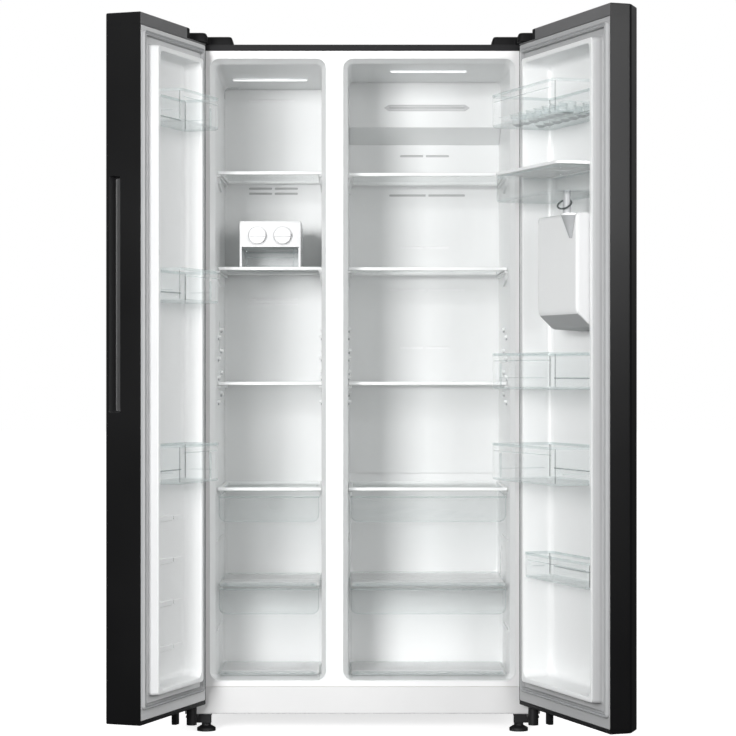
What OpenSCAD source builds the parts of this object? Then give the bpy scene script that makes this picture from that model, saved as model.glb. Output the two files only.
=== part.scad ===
// Side by side refrigerator: a freezer on the left and a fridge on the right, both doors open.
// X runs to the right, Y to the back and Z up. The origin is on the floor, under the middle
// of the cabinet's front face.

/* [Cabinet] */
// Width of the cabinet
cab_w = 910; // [890:5:930]
// Depth of the cabinet without its doors
cab_d = 540; // [530:5:560]
// Height of the cabinet's top above the floor
cab_top = 1762; // [1755:1:1770]
// Height of the cabinet's underside above the floor
cab_bottom = 46; // [44:1:48]
// Thickness of the steel skins of the cabinet and the doors
skin_t = 1; // [0.8:0.1:1.2]
// Thickness of the white front frame round the openings
frame_t = 3; // [2:0.5:4]
// Lower edge of the white front frame
frame_bottom = 116; // [110:1:120]
// Lower edge of the dark strip along the top
trim_bottom = 1746; // [1742:1:1748]

/* [Compartments] */
// Width of each side wall with its insulation
side_wall = 64; // [60:1:70]
// Width of the wall between the two openings
divider_w = 44; // [42:1:46]
// Width of the freezer's opening
freezer_w = 297.5; // [292:0.5:300]
// Bottom of both openings
floor_z = 131.5; // [130:0.5:134]
// Top of both openings
ceiling_z = 1726; // [1722:1:1730]
// Depth from the front face to the back wall
inner_d = 485; // [480:1:490]
// How far each wall steps in behind the mouth of an opening
step_in = 12; // [10:1:14]
// Depth of the mouth in front of that step
mouth_d = 30; // [26:1:34]
// Radius of the corners of the openings
corner_r = 25; // [15:1:35]
// Thickness of the liners
liner_t = 2; // [1.5:0.5:2.5]
// Depth at which the machine space begins behind the lower drawers
hump_y = 330; // [325:1:335]
// Height of the machine space's roof inside the compartments
hump_z = 363; // [360:1:364]

/* [Doors] */
// Width of the freezer door
freezer_door_w = 383; // [380:1:386]
// Gap between the two closed doors
door_gap = 5; // [4:1:6]
// Thickness of both doors without the gasket
door_t = 93; // [90:1:96]
// Bottom of both doors
door_bottom = 75; // [74:1:77]
// Top of both doors
door_top = 1786; // [1784:1:1790]
// Height of the grey cap on top of each door
cap_h = 30; // [28:1:32]
// Distance from the hinge edge at which the tall part of each cap begins
freezer_cap_start = 92; // [88:1:96]
fridge_cap_start = 74; // [70:1:78]
// Height of the black cap under each door
low_cap_h = 10; // [8:1:12]
// Distance from a door's hinge edge to its hinge pin
hinge_in = 20; // [18:1:22]
// Distance from a door's liner to its hinge pin
hinge_back = 30; // [28:1:32]
// Gap between the cabinet and a closed door, which the gasket fills
gasket_t = 10; // [9:1:12]
// Angle to which both doors stand open
door_open = 110; // [0:5:120]
// Slope on the free edge of the fridge door, along its width
bevel_w = 46; // [40:1:55]
// Slope on the free edge of the fridge door, across its thickness
bevel_t = 38; // [30:1:45]

/* [Door liners] */
// Distance from the hinge edge to the raised wall of a liner
dyke_hinge = 72; // [70:1:76]
// Distance from the free edge to the raised wall of a liner
dyke_free = 38; // [36:1:42]
// Width of the raised wall
dyke_w = 16; // [14:1:18]
// Height of the raised wall
dyke_h = 28; // [24:1:30]
// Bottom of the raised wall
dyke_bottom = 142; // [140:1:146]
// Top of the raised wall
dyke_top = 1712; // [1706:1:1714]
// Depth of the freezer door's floor between its raised walls
freezer_recess = 22; // [18:1:26]
// Depth of the fridge door's floor between its raised walls
fridge_recess = 50; // [44:1:54]

/* [Shelves and drawers] */
// Undersides of the freezer's shelves
freezer_shelf_z = [1439, 1189, 888];
// Undersides of the fridge's shelves
fridge_shelf_z = [1435, 1188, 888];
// Front edge of the shelves
shelf_front = 120; // [115:1:130]
// Back edge of the shelves
shelf_back = 432; // [420:1:434]
// Height of the shelves' frames
shelf_h = 9; // [8:1:12]
// Thickness of the glass
glass_t = 4; // [3:1:5]
// Underside of the glass covers over the drawers
cover_z = 613; // [611:1:616]
// Front edge of the glass covers
cover_front = 90; // [85:1:100]
// Front of the drawers
drawer_front = 70; // [65:1:75]
// Bottoms of the upper and the lower drawers
drawer_z = [366, 136];
// Tops of the upper and the lower drawers
drawer_top = [600, 361];
// Wall thickness of drawers
drawer_wall = 3; // [2.5:0.5:3.5]

/* [Door bins] */
// Bottoms and tops of the freezer door's bins
freezer_bin_z = [[1526, 1606], [1093, 1174], [651, 746]];
// Bottoms and tops of the fridge door's bins
fridge_bin_z = [[1530, 1612], [880, 969], [654, 746], [408, 472]];
// How far the freezer door's bins stand out from its liner
freezer_bin_out = 82; // [78:1:84]
// How far each of the fridge door's bins stands out from its liner
fridge_bin_out = [120, 120, 120, 30];
// Wall thickness of the bins
bin_wall = 2.5; // [2:0.5:3]
// Radius of the bins' front corners
bin_r = 18; // [12:1:22]

/* [Dispenser] */
// Width of the dispenser's niche
niche_w = 180; // [170:1:190]
// Depth of the niche
niche_d = 115; // [100:1:118]
// Bottom of the niche
niche_bottom = 1045; // [1040:1:1050]
// Top of the niche
niche_top = 1285; // [1275:1:1290]
// Underside of the water tank
tank_bottom = 1345; // [1340:1:1350]
// Top of the water tank's lid
tank_top = 1420; // [1416:1:1424]
// How far the water tank stands out from the liner
tank_out = 109; // [104:1:112]

/* [Ice maker] */
// Width of the ice maker
ice_w = 160; // [155:1:165]
// Middle of the ice maker, left of the cabinet's middle
ice_x = -242; // [-244:1:-240]
// Top of the ice maker
ice_top = 1318; // [1314:1:1320]
// Bottom of its housing
ice_bottom = 1250; // [1248:1:1252]
// Height of its two knobs' axes
knob_z = 1280; // [1279:1:1282]
// Distance between its two knobs
knob_pitch = 66; // [64:1:68]

/* [Feet and rollers] */
// Radius of the levelling feet
foot_r = 24; // [20:1:26]
// Distance of the feet from the cabinet's middle
foot_x = 402; // [395:1:405]
// Distance of the feet behind the front face
foot_y = 26; // [25:1:30]
// Radius of the rollers at the back
roller_r = 22; // [20:1:22]
// Distance of the rollers behind the front face
roller_y = 500; // [495:1:505]

/* [Hidden] */
$fn = 48;

// Radial play between a pin and its bore
pin_play = 0.05;
// Gap left between parts that move past each other
move_gap = 0.6;
// How far a cutting shape runs past what it cuts
cut = 1;

half_w = cab_w / 2;
freezer_x = [-half_w + side_wall, -half_w + side_wall + freezer_w];
fridge_x = [freezer_x[1] + divider_w, half_w - side_wall];
freezer_in = [freezer_x[0] + step_in, freezer_x[1] - step_in];
fridge_in = [fridge_x[0] + step_in, fridge_x[1] - step_in];
freezer_roof = [ceiling_z - step_in, ceiling_z - 26];
fridge_roof = [ceiling_z - 10, ceiling_z - 10];
base_t = 4;
foam_bottom = cab_bottom + base_t + 2;

fridge_door_w = cab_w - freezer_door_w - door_gap;
hinge_x = half_w - hinge_in;
hinge_y = -gasket_t - hinge_back;
hinge_plate_t = 4;
hinge_plate_r = 15;
hinge_pin_r = 6;
core_bottom = door_bottom + low_cap_h;
core_top = door_top - cap_h;
boss = [8, 50, -62, -16];
boss_depth = 18;
flange_d = 14;

// Range of x between the raised walls of a door's liner
function bay(door_w) = [dyke_hinge + dyke_w, door_w - dyke_free - dyke_w];
freezer_bay = bay(freezer_door_w);
fridge_bay = bay(fridge_door_w);

panel_y = 440;
panel_t = 3;
duct_y = 400;
duct_back_y = 478;
machine_y = hump_y + 24;
machine_top = hump_z - 24;
machine_half = half_w - 30;
slot_h = 6;

fan = [-242, 462, 560];
fan_r = 48;
fan_shaft_r = 3;

// The finger pocket in the free edge of the freezer door
pocket_z = [824, 1394];
pocket_y = [-84, -54];
pocket_d = 32;
pocket_wall = 2;

// The dispenser's niche and the bulge behind it, measured on the fridge door
niche_x = [fridge_door_w - 65 - niche_w, fridge_door_w - 65];
niche_back = niche_d - door_t;
niche_wall = 3;
bulge_x = [fridge_bay[1] - 230, fridge_bay[1]];
bulge_out = 60;
bulge_top = 1300;
tap_x = fridge_bay[1] - 30;
tap_y = bulge_out + 12;
lid_t = 8;
lid_gap = 1.5;
lid_y = 10 - fridge_recess;
paddle_y = -12;
paddle_z = 1262;
paddle_pin_r = 2.5;

steel = "silver";
case_grey = [0.23, 0.23, 0.24];
door_black = [0.07, 0.07, 0.075];
cap_grey = [0.36, 0.36, 0.37];
liner_white = [0.95, 0.96, 0.96];
frame_white = [0.97, 0.97, 0.97];
clear_tint = [0.80, 0.88, 0.88, 0.5];
foam_cream = [0.90, 0.86, 0.70];

// ---- General shapes ----

module block(x, y, z) {
    translate([x[0], y[0], z[0]])
        cube([x[1] - x[0], y[1] - y[0], z[1] - z[0]]);
}

module round_rect(x, y, r) {
    translate([x[0] + r, y[0]]) square([x[1] - x[0] - 2 * r, y[1] - y[0]]);
    translate([x[0], y[0] + r]) square([x[1] - x[0], y[1] - y[0] - 2 * r]);
    for (px = [x[0] + r, x[1] - r], py = [y[0] + r, y[1] - r])
        translate([px, py]) circle(r);
}

// A plate whose rounded outline lies in X and Z
module slab_y(x, y, z, r) {
    translate([0, y[1], 0])
        rotate([90, 0, 0])
            linear_extrude(y[1] - y[0]) round_rect(x, z, r);
}

// A plate whose rounded outline lies in X and Y
module slab_z(x, y, z, r) {
    translate([0, 0, z[0]])
        linear_extrude(z[1] - z[0]) round_rect(x, y, r);
}

// A bar along X whose outline is given as [y, z] points
module bar_x(x, points) {
    translate([x[0], 0, 0])
        rotate([90, 0, 90])
            linear_extrude(x[1] - x[0]) polygon(points);
}

module rod_x(x, y, z, r) {
    translate([x[0], y, z]) rotate([0, 90, 0]) cylinder(r = r, h = x[1] - x[0]);
}

module rod_y(x, y, z, r) {
    translate([x, y[1], z]) rotate([90, 0, 0]) cylinder(r = r, h = y[1] - y[0]);
}

// ---- Cabinet ----

module outer_case() {
    color(case_grey)
        difference() {
            block([-half_w, half_w], [frame_t, cab_d - 1.5], [cab_bottom, cab_top]);
            block([-half_w + skin_t, half_w - skin_t], [0, cab_d], [0, cab_top - skin_t]);
        }
}

module rear_panel() {
    color("lightgrey")
        block([-half_w, half_w], [cab_d - 1.5, cab_d - 0.5], [machine_top + 1, cab_top]);
}

module roller_fork() {
    for (side = [-1, 1])
        translate([side * 14 - 2, roller_y - 12, roller_r - 8])
            cube([4, 24, cab_bottom - roller_r + 8 + cut]);
    rod_x([-16, 16], roller_y, roller_r, 4);
}

module base_plate() {
    inside = half_w - skin_t;
    color("dimgrey")
        difference() {
            union() {
                block([-inside, inside], [frame_t, cab_d - 1.5], [cab_bottom, cab_bottom + base_t]);
                for (side = [-1, 1]) {
                    translate([side * foot_x, foot_y, cab_bottom - 14]) cylinder(r = 10, h = 15);
                    translate([side * 380, 0, 0]) roller_fork();
                }
            }
            for (side = [-1, 1])
                translate([side * foot_x, foot_y, 0]) cylinder(r = 6 + pin_play, h = 100);
        }
}

// The hollow of one compartment, grown outwards by g
module cavity(x, roof, g) {
    top = roof[0] + g;
    slab_y([x[0] - g, x[1] + g], [frame_t - cut, mouth_d + g], [floor_z - g, ceiling_z + g], corner_r);
    intersection() {
        slab_y([x[0] + step_in - g, x[1] - step_in + g], [mouth_d - cut, inner_d + g],
               [floor_z - g, top], corner_r / 2);
        bar_x([x[0], x[1]], [
            [0, floor_z - 2 * g - cut], [hump_y + g, floor_z - 2 * g - cut],
            [hump_y + g, hump_z - g], [inner_d + g, hump_z - g],
            [inner_d + g, roof[1] + g], [mouth_d, top], [0, top]
        ]);
    }
}

module shelf_rests(x, heights) {
    for (z = heights, side = [0, 1])
        block([x[side] - (side == 1 ? 8 : 0), x[side] + (side == 0 ? 8 : 0)],
              [shelf_front - 8, shelf_back + 4], [z - 8, z - move_gap]);
}

module liner(x, inside, roof, heights) {
    difference() {
        cavity(x, roof, liner_t);
        cavity(x, roof, 0);
        block([-half_w, half_w], [-10, frame_t], [0, cab_top]);
    }
    shelf_rests(inside, heights);
}

module freezer_liner() {
    color(liner_white) liner(freezer_x, freezer_in, freezer_roof, concat(freezer_shelf_z, [cover_z]));
}

module fridge_liner() {
    color(liner_white) liner(fridge_x, fridge_in, fridge_roof, concat(fridge_shelf_z, [cover_z]));
}

module cabinet_foam() {
    side = half_w - skin_t;
    color(foam_cream)
        difference() {
            block([-side, side], [frame_t, cab_d - 1.5], [foam_bottom, cab_top - skin_t]);
            cavity(freezer_x, freezer_roof, liner_t);
            cavity(fridge_x, fridge_roof, liner_t);
            block([-machine_half, machine_half], [machine_y, cab_d], [0, machine_top]);
            for (end = [-1, 1])
                translate([end * foot_x, foot_y, 0]) cylinder(r = 8, h = foam_bottom + 20);
        }
}

module front_frame() {
    color(frame_white)
        difference() {
            block([-half_w, half_w], [0, frame_t], [frame_bottom, trim_bottom]);
            slab_y(freezer_x, [-cut, frame_t + cut], [floor_z, ceiling_z], corner_r);
            slab_y(fridge_x, [-cut, frame_t + cut], [floor_z, ceiling_z], corner_r);
        }
}

module top_trim() {
    color([0.30, 0.30, 0.31])
        block([-half_w, half_w], [0, frame_t], [trim_bottom, cab_top]);
}

module bottom_rail() {
    color([0.90, 0.90, 0.90])
        block([-half_w, half_w], [0, frame_t], [cab_bottom, frame_bottom]);
}

// Steel plates on top of the cabinet and under its front, with a pin for each door
module one_hinge_pair() {
    plate_z = [cab_top, cab_top + hinge_plate_t];
    pin_x = -hinge_x;
    low_z = [cab_bottom - 4, cab_bottom];
    low_x = [pin_x - hinge_plate_r, pin_x + 48];
    difference() {
        union() {
            translate([pin_x, hinge_y, plate_z[0]]) cylinder(r = hinge_plate_r, h = hinge_plate_t);
            block([pin_x - hinge_plate_r, pin_x + hinge_plate_r], [hinge_y, 20], plate_z);
            block([pin_x - hinge_plate_r, pin_x + 82], [18, 78], plate_z);
        }
        for (px = [pin_x + 20, pin_x + 66])
            translate([px, 58, 0]) cylinder(r = 3.5, h = 2 * cab_top);
    }
    translate([pin_x, hinge_y, cab_top - 22]) cylinder(r = hinge_pin_r, h = 22 + cut);
    difference() {
        union() {
            block([low_x[0], pin_x + hinge_plate_r], [hinge_y, 0], low_z);
            block(low_x, [-4, 66], low_z);
            block(low_x, [-4, 0], [low_z[0] - 18, low_z[1]]);
        }
        translate([-foot_x, foot_y, 0]) cylinder(r = 11, h = cab_top);
    }
    translate([pin_x, hinge_y, low_z[0] - 18]) cylinder(r = 13, h = door_bottom - 3 - low_z[0] + 18);
    translate([pin_x, hinge_y, low_z[0]]) cylinder(r = hinge_pin_r, h = door_bottom + 20 - low_z[0]);
}

module door_hinges() {
    color(steel) {
        one_hinge_pair();
        mirror([1, 0, 0]) one_hinge_pair();
    }
}

// The plan of a hinge cover, shrunk by g
module hinge_cover_plan(g) {
    round_rect([-half_w + g, -half_w + 61 - g], [hinge_y - 20 + g, 100 - g], 12);
    round_rect([-half_w + g, -half_w + 122 - g], [12 + g, 100 - g], 12);
}

module one_hinge_cover() {
    wall = 2.5;
    translate([0, 0, cab_top])
        difference() {
            linear_extrude(22) hinge_cover_plan(0);
            translate([0, 0, -cut]) linear_extrude(22 - wall + cut) hinge_cover_plan(wall);
        }
}

module hinge_covers() {
    color(cap_grey) {
        one_hinge_cover();
        mirror([1, 0, 0]) one_hinge_cover();
    }
}

// ---- Air, light and cooling ----

module air_slots(x, y, heights) {
    for (z = heights)
        slab_y(x, y, [z - slot_h / 2, z + slot_h / 2], slot_h / 2 - 0.1);
}

module freezer_air_panel() {
    x = [freezer_in[0] + 1, freezer_in[1] - 1];
    through = [panel_y - cut, panel_y + panel_t + cut];
    color(liner_white) {
        difference() {
            block(x, [panel_y, panel_y + panel_t], [hump_z + 1, freezer_roof[1]]);
            air_slots([-315, -186], through, [1670]);
            air_slots([-313, -249], through, [1414, 1428, 1110, 1124]);
            air_slots([-242, -178], through, [1414, 1428, 1110, 1124]);
            rod_y(fan[0], through, fan[2], 20);
        }
        difference() {
            rod_y(fan[0], [panel_y, fan[1] - 12], fan[2], 22);
            rod_y(fan[0], [panel_y - cut, fan[1] - 14], fan[2], 20);
        }
        rod_y(fan[0], [fan[1] - 14, fan[1] + 10], fan[2], fan_shaft_r);
    }
}

module evaporator_fan() {
    color("gainsboro")
        difference() {
            union() {
                rod_y(fan[0], [fan[1] - 6, fan[1] + 8], fan[2], 12);
                for (turn = [0 : 72 : 359])
                    translate(fan) rotate([0, turn, 0]) rotate([28, 0, 0])
                        translate([8, -1, -11]) cube([fan_r - 8, 2, 22]);
            }
            rod_y(fan[0], [fan[1] - 30, fan[1] + 30], fan[2], fan_shaft_r + pin_play);
        }
}

// The upper air housing in the fridge and, with a seam between them, the flat channel under it
module fridge_air_duct() {
    x = [fridge_in[0] + 1, fridge_in[1] - 1];
    low = cover_z + 30;
    top = fridge_roof[0] - 1;
    back = inner_d - 0.5;
    seam = 1552;
    color(liner_white) {
        difference() {
            intersection() {
                bar_x(x, [[duct_y, 1592], [duct_back_y, seam], [back, seam], [back, top], [duct_y, top]]);
                slab_y(x, [duct_y, inner_d], [seam - 40, top], corner_r / 2);
            }
            bar_x([x[0] + 3, x[1] - 3], [
                [duct_y + 3, 1594], [duct_back_y + 1, seam + 3], [back - 1, seam + 3],
                [back - 1, top - 13], [duct_y + 3, top - 13]
            ]);
            air_slots([70, 283], [duct_y - cut, duct_y + 4], [1646]);
        }
        difference() {
            block(x, [duct_back_y, back], [low, seam - 0.4]);
            block([x[0] + 3, x[1] - 3], [duct_back_y + 2.5, back - 1], [low + 3, seam - 3]);
            air_slots([104, 240], [duct_back_y - cut, duct_back_y + 4], [1521, 1268, 990]);
            air_slots([74, 284], [duct_back_y - cut, duct_back_y + 4], [1412, 1150]);
        }
    }
}

module lamp_lenses() {
    color([0.93, 0.97, 1.0]) {
        slab_z([-346, -149], [250, 272], [freezer_roof[1] + 2, freezer_roof[1] + 6], 5);
        slab_z([75, 273], [155, 177], [fridge_roof[1] - 4, fridge_roof[1] - 0.5], 5);
    }
}

// A finned coil: straight tubes along X, round bends at their ends and thin fins across them
module finned_coil(x, y, z, rows, pitch, tube_r, fins) {
    bend = pitch / 2;
    for (i = [0 : rows - 1])
        rod_x(x, y, z + i * pitch, tube_r);
    for (i = [0 : rows - 2])
        translate([x[(i + 1) % 2], y, z + i * pitch + bend])
            rotate([90, 0, 0])
                rotate([0, 0, i % 2 == 0 ? -90 : 90])
                    rotate_extrude(angle = 180) translate([bend, 0]) circle(tube_r);
    step = (x[1] - x[0] - 30) / (fins - 1);
    for (i = [0 : fins - 1])
        translate([x[0] + 15 + i * step - 0.4, y - 12, z - 12])
            cube([0.8, 24, (rows - 1) * pitch + 24]);
}

module evaporator() {
    color(steel) finned_coil([-348, -136], fan[1], 400, 4, 26, 4, 16);
}

module compressor() {
    translate([-230, 446, foam_bottom - 2])
        color([0.12, 0.12, 0.13]) {
            rotate_extrude()
                polygon([[0, 14], [56, 14], [70, 30], [70, 96], [66, 112], [52, 136], [28, 148], [0, 152]]);
            difference() {
                union() {
                    block([-82, 82], [-50, -30], [10, 14]);
                    block([-82, 82], [30, 50], [10, 14]);
                    block([-30, 30], [-50, 50], [10, 14.5]);
                }
                for (px = [-70, 70], py = [-40, 40])
                    translate([px, py, 0]) cylinder(r = 6 + pin_play, h = 40);
            }
            for (px = [-70, 70], py = [-40, 40])
                translate([px, py, 0]) cylinder(r = 6, h = 18);
            translate([62, 0, 70]) rotate([0, 90, 0]) cylinder(r = 18, h = 24);
            translate([20, 20, 140]) cylinder(r = 4, h = 40);
        }
}

module condenser() {
    color([0.15, 0.15, 0.16]) finned_coil([0, 380], 430, foam_bottom + 12, 8, 30, 3.5, 20);
}

module machine_cover() {
    color([0.20, 0.20, 0.21])
        difference() {
            block([-half_w + 2, half_w - 2], [cab_d - 1.5, cab_d], [cab_bottom + base_t + 1, machine_top]);
            for (column = [0 : 3], row = [0 : 9])
                slab_y([-400 + column * 210, -230 + column * 210], [cab_d - 3, cab_d + cut],
                       [84 + row * 24, 92 + row * 24], 3.9);
        }
}

// ---- Feet and rollers ----

module levelling_foot(side) {
    color([0.10, 0.10, 0.11])
        translate([side * foot_x, foot_y, 0]) {
            cylinder(r = foot_r, h = 8);
            translate([0, 0, 8]) cylinder(r1 = foot_r, r2 = 14, h = 6);
            translate([0, 0, 14]) cylinder(r = 12, h = 8, $fn = 6);
            translate([0, 0, 22]) cylinder(r = 6, h = 38);
        }
}

module rear_rollers() {
    color("dimgrey")
        for (side = [-1, 1])
            difference() {
                rod_x([side * 380 - 10, side * 380 + 10], roller_y, roller_r, roller_r);
                rod_x([side * 380 - 11, side * 380 + 11], roller_y, roller_r, 4 + pin_play);
            }
}

// ---- Shelves and drawers ----

// A pane of glass in a white frame; x is the compartment's inner width
module glass_shelf(x, y, z) {
    left = x[0] + 1.5;
    right = x[1] - 1.5;
    pane_z = [z + shelf_h - glass_t - 1, z + shelf_h - 1];
    rim = 10;
    color(frame_white)
        difference() {
            slab_z([left, right], y, [z, z + shelf_h], 4);
            block([left + rim, right - rim], [y[0] + rim, y[1] - rim], [z - cut, z + shelf_h + cut]);
        }
    color(clear_tint)
        block([left + rim, right - rim], [y[0] + rim, y[1] - rim], pane_z);
}

module freezer_shelf(i) {
    glass_shelf(freezer_in, [shelf_front, shelf_back], freezer_shelf_z[i]);
}

module fridge_shelf(i) {
    glass_shelf(fridge_in, [shelf_front, shelf_back], fridge_shelf_z[i]);
}

module freezer_drawer_cover() {
    glass_shelf(freezer_in, [cover_front, shelf_back], cover_z);
}

module fridge_drawer_cover() {
    glass_shelf(fridge_in, [cover_front, shelf_back], cover_z);
}

// A clear drawer; the handle is a thick band along the top of its front
module drawer(x, y, z) {
    grip_h = 66;
    grip_out = 8;
    inside_x = [x[0] + drawer_wall, x[1] - drawer_wall];
    inside_y = [y[0] + drawer_wall, y[1] - drawer_wall];
    color(clear_tint)
        difference() {
            union() {
                slab_z(x, y, z, 8);
                slab_z([x[0] + 2, x[1] - 2], [y[0] - grip_out, y[0] + 20], [z[1] - grip_h, z[1]], 6);
            }
            slab_z(inside_x, inside_y, [z[0] + drawer_wall, z[1] + cut], 6);
        }
}

function drawer_back(i, full) = i == 0 ? full : hump_y - 8;

module freezer_drawer(i) {
    drawer([freezer_in[0] + 4, freezer_in[1] - 4], [drawer_front, drawer_back(i, panel_y - 10)],
           [drawer_z[i], drawer_top[i]]);
}

module fridge_drawer(i) {
    drawer([fridge_in[0] + 4, fridge_in[1] - 4], [drawer_front, drawer_back(i, duct_back_y - 10)],
           [drawer_z[i], drawer_top[i]]);
}

// ---- Ice maker, which stands on the freezer's middle shelf ----

ice_y = [130, 330];
ice_wall = 3;
ice_floor = freezer_shelf_z[1] + shelf_h;

module ice_maker_housing() {
    x = [ice_x - ice_w / 2, ice_x + ice_w / 2];
    color(frame_white)
        difference() {
            slab_z(x, ice_y, [ice_floor, ice_top], 5);
            block([x[0] + ice_wall, x[1] - ice_wall], [ice_y[0] + ice_wall, ice_y[1] - ice_wall],
                  [ice_floor - cut, ice_top - ice_wall]);
            block([x[0] + 6, x[1] - 6], [ice_y[0] - cut, ice_y[0] + 20], [ice_floor - cut, ice_bottom]);
            for (side = [-1, 1])
                rod_y(ice_x + side * knob_pitch / 2, [ice_y[0] - cut, ice_y[0] + 10], knob_z, 5 + pin_play);
        }
}

// A knob with a grip bar, its shaft and the ice tray that it tips
module ice_knob(side) {
    x = ice_x + side * knob_pitch / 2;
    tray_y = [ice_y[0] + 12, ice_y[1] - 12];
    color(frame_white)
        difference() {
            union() {
                rod_y(x, [ice_y[0] - 8, ice_y[0] - 1], knob_z, 22);
                block([x - 20, x + 20], [ice_y[0] - 16, ice_y[0] - 7], [knob_z - 4, knob_z + 4]);
                rod_y(x, [ice_y[0] - 2, tray_y[0] + 2], knob_z, 5);
                block([x - 23, x + 23], tray_y, [knob_z - 10, knob_z + 10]);
            }
            for (row = [0 : 5])
                block([x - 20, x - 1], [tray_y[0] + 4 + row * 29, tray_y[0] + 28 + row * 29],
                      [knob_z - 7, knob_z + 11]);
            for (row = [0 : 5])
                block([x + 1, x + 20], [tray_y[0] + 4 + row * 29, tray_y[0] + 28 + row * 29],
                      [knob_z - 7, knob_z + 11]);
        }
}

module ice_box() {
    x = [ice_x - ice_w / 2 + 7, ice_x + ice_w / 2 - 7];
    y = [ice_y[0] + 2, ice_y[1] - 6];
    z = [ice_floor + move_gap, ice_bottom - 2];
    color(clear_tint)
        difference() {
            slab_z(x, y, z, 6);
            slab_z([x[0] + 2, x[1] - 2], [y[0] + 2, y[1] - 2], [z[0] + 2, z[1] + cut], 4);
        }
}

// ---- Doors ----
// On a door x runs from its hinge edge to its free edge, y = 0 is the liner's plane and
// y = -door_t is the outer face.

module on_freezer_door() {
    translate([-hinge_x, hinge_y, 0])
        rotate([0, 0, -door_open])
            translate([-hinge_in, hinge_back, 0])
                children();
}

module on_fridge_door() {
    mirror([1, 0, 0]) on_freezer_door() children();
}

// The plan of a door with a slope on its free edge, shrunk by g
module door_plan(w, slope, g) {
    polygon([
        [g, 0], [w - g, 0], [w - g, -door_t + slope[1] + g / 2],
        [w - slope[0] - g / 2, -door_t + g], [g, -door_t + g]
    ]);
}

module door_panel(w, slope) {
    difference() {
        translate([0, 0, core_bottom])
            linear_extrude(core_top - core_bottom) door_plan(w, slope, 0);
        translate([0, 0, core_bottom - cut])
            linear_extrude(core_top - core_bottom + 2 * cut) door_plan(w, slope, skin_t);
        block([skin_t, w - skin_t], [-2, 2], [0, door_top]);
    }
}

// The hollow between the raised walls of a door's liner up to height top, grown by g
module recess_room(w, recess, top, g) {
    room = bay(w);
    slab_y([room[0] - g, room[1] + g], [-recess - g, top],
           [dyke_bottom + dyke_w - g, dyke_top - dyke_w + g], corner_r - 8);
}

// What the liner covers on the cabinet's side of a door, shrunk by g
module liner_form(w, recess, g) {
    edge = skin_t + g / 4;
    difference() {
        union() {
            block([edge, w - edge], [-flange_d - 3 * g, -g], [core_bottom + g / 2, core_top - g / 2]);
            slab_y([dyke_hinge + g, w - dyke_free - g], [-flange_d, dyke_h - g],
                   [dyke_bottom + g, dyke_top - g], corner_r);
        }
        recess_room(w, recess, dyke_h + 10, g);
    }
}

module door_liner(w, recess) {
    difference() {
        union() {
            liner_form(w, recess, 0);
            recess_room(w, recess, -1, liner_t);
        }
        liner_form(w, recess, liner_t);
        recess_room(w, recess, dyke_h + 10, 0);
    }
}

module door_foam(w, slope, recess) {
    difference() {
        union() {
            difference() {
                translate([0, 0, core_bottom])
                    linear_extrude(core_top - core_bottom) door_plan(w, slope, skin_t);
                block([-cut, w + cut], [-flange_d, 10], [0, door_top]);
            }
            liner_form(w, recess, liner_t);
        }
        recess_room(w, recess, dyke_h + 10, liner_t);
        boss_pockets();
    }
}

// Room in the foam for the blocks that hold the hinge pins
module boss_pockets() {
    x = [boss[0] - move_gap, boss[1] + move_gap];
    y = [boss[2] - move_gap, boss[3] + move_gap];
    block(x, y, [core_top - boss_depth - move_gap, core_top + cut]);
    block(x, y, [core_bottom - cut, core_bottom + boss_depth + move_gap]);
}

// Grey cap along the top, low over the hinge, and black cap along the bottom
module door_caps(w, slope, start) {
    low_top = core_top + 3;
    color(cap_grey)
        difference() {
            union() {
                translate([0, 0, core_top])
                    linear_extrude(door_top - core_top) door_plan(w, slope, 0);
                block([boss[0], boss[1]], [boss[2], boss[3]], [core_top - boss_depth, core_top + cut]);
            }
            block([-cut, start], [-door_t - cut, cut], [low_top, door_top + cut]);
            translate([hinge_in, -hinge_back, core_top - boss_depth - cut])
                cylinder(r = hinge_pin_r + pin_play, h = cap_h + boss_depth + 2 * cut);
        }
    color([0.06, 0.06, 0.06])
        difference() {
            union() {
                translate([0, 0, door_bottom])
                    linear_extrude(low_cap_h) door_plan(w, slope, 0);
                block([boss[0], boss[1]], [boss[2], boss[3]], [core_bottom - cut, core_bottom + boss_depth]);
                block([72, 92], [-54, -40], [door_bottom - 42, door_bottom + cut]);
            }
            translate([hinge_in, -hinge_back, door_bottom - cut])
                cylinder(r = hinge_pin_r + pin_play, h = low_cap_h + boss_depth + 2 * cut);
        }
}

module gasket(w) {
    wide = 13;
    hinge_edge = 22;
    free_edge = 4;
    out = gasket_t - 0.5;
    difference() {
        slab_y([hinge_edge, w - free_edge], [0, out], [112, 1743], 10);
        slab_y([hinge_edge + wide, w - free_edge - wide], [-cut, out + cut], [125, 1730], 6);
    }
}

// The plan of a bin, shrunk by g: square at the door and round at its two front corners
module bin_plan(x, recess, out, g) {
    r = min(bin_r, out / 2);
    left = x[0] + move_gap + g;
    right = x[1] - move_gap - g;
    back = -recess + move_gap + g;
    front = out - g;
    translate([left, back]) square([right - left, front - r - back]);
    translate([left + r, back]) square([right - left - 2 * r, front - back]);
    for (px = [left + r, right - r])
        translate([px, front - r]) circle(r);
}

module bin(x, recess, out, z) {
    difference() {
        translate([0, 0, z[0]]) linear_extrude(z[1] - z[0]) bin_plan(x, recess, out, 0);
        translate([0, 0, z[0] + bin_wall])
            linear_extrude(z[1] - z[0]) bin_plan(x, recess, out, bin_wall);
    }
}

// ---- Freezer door ----

freezer_slope = [3, 3];

module pocket_room(g) {
    block([freezer_door_w - pocket_d - g, freezer_door_w + cut], [pocket_y[0] - g, pocket_y[1] + g],
          [pocket_z[0] - g, pocket_z[1] + g]);
}

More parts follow.
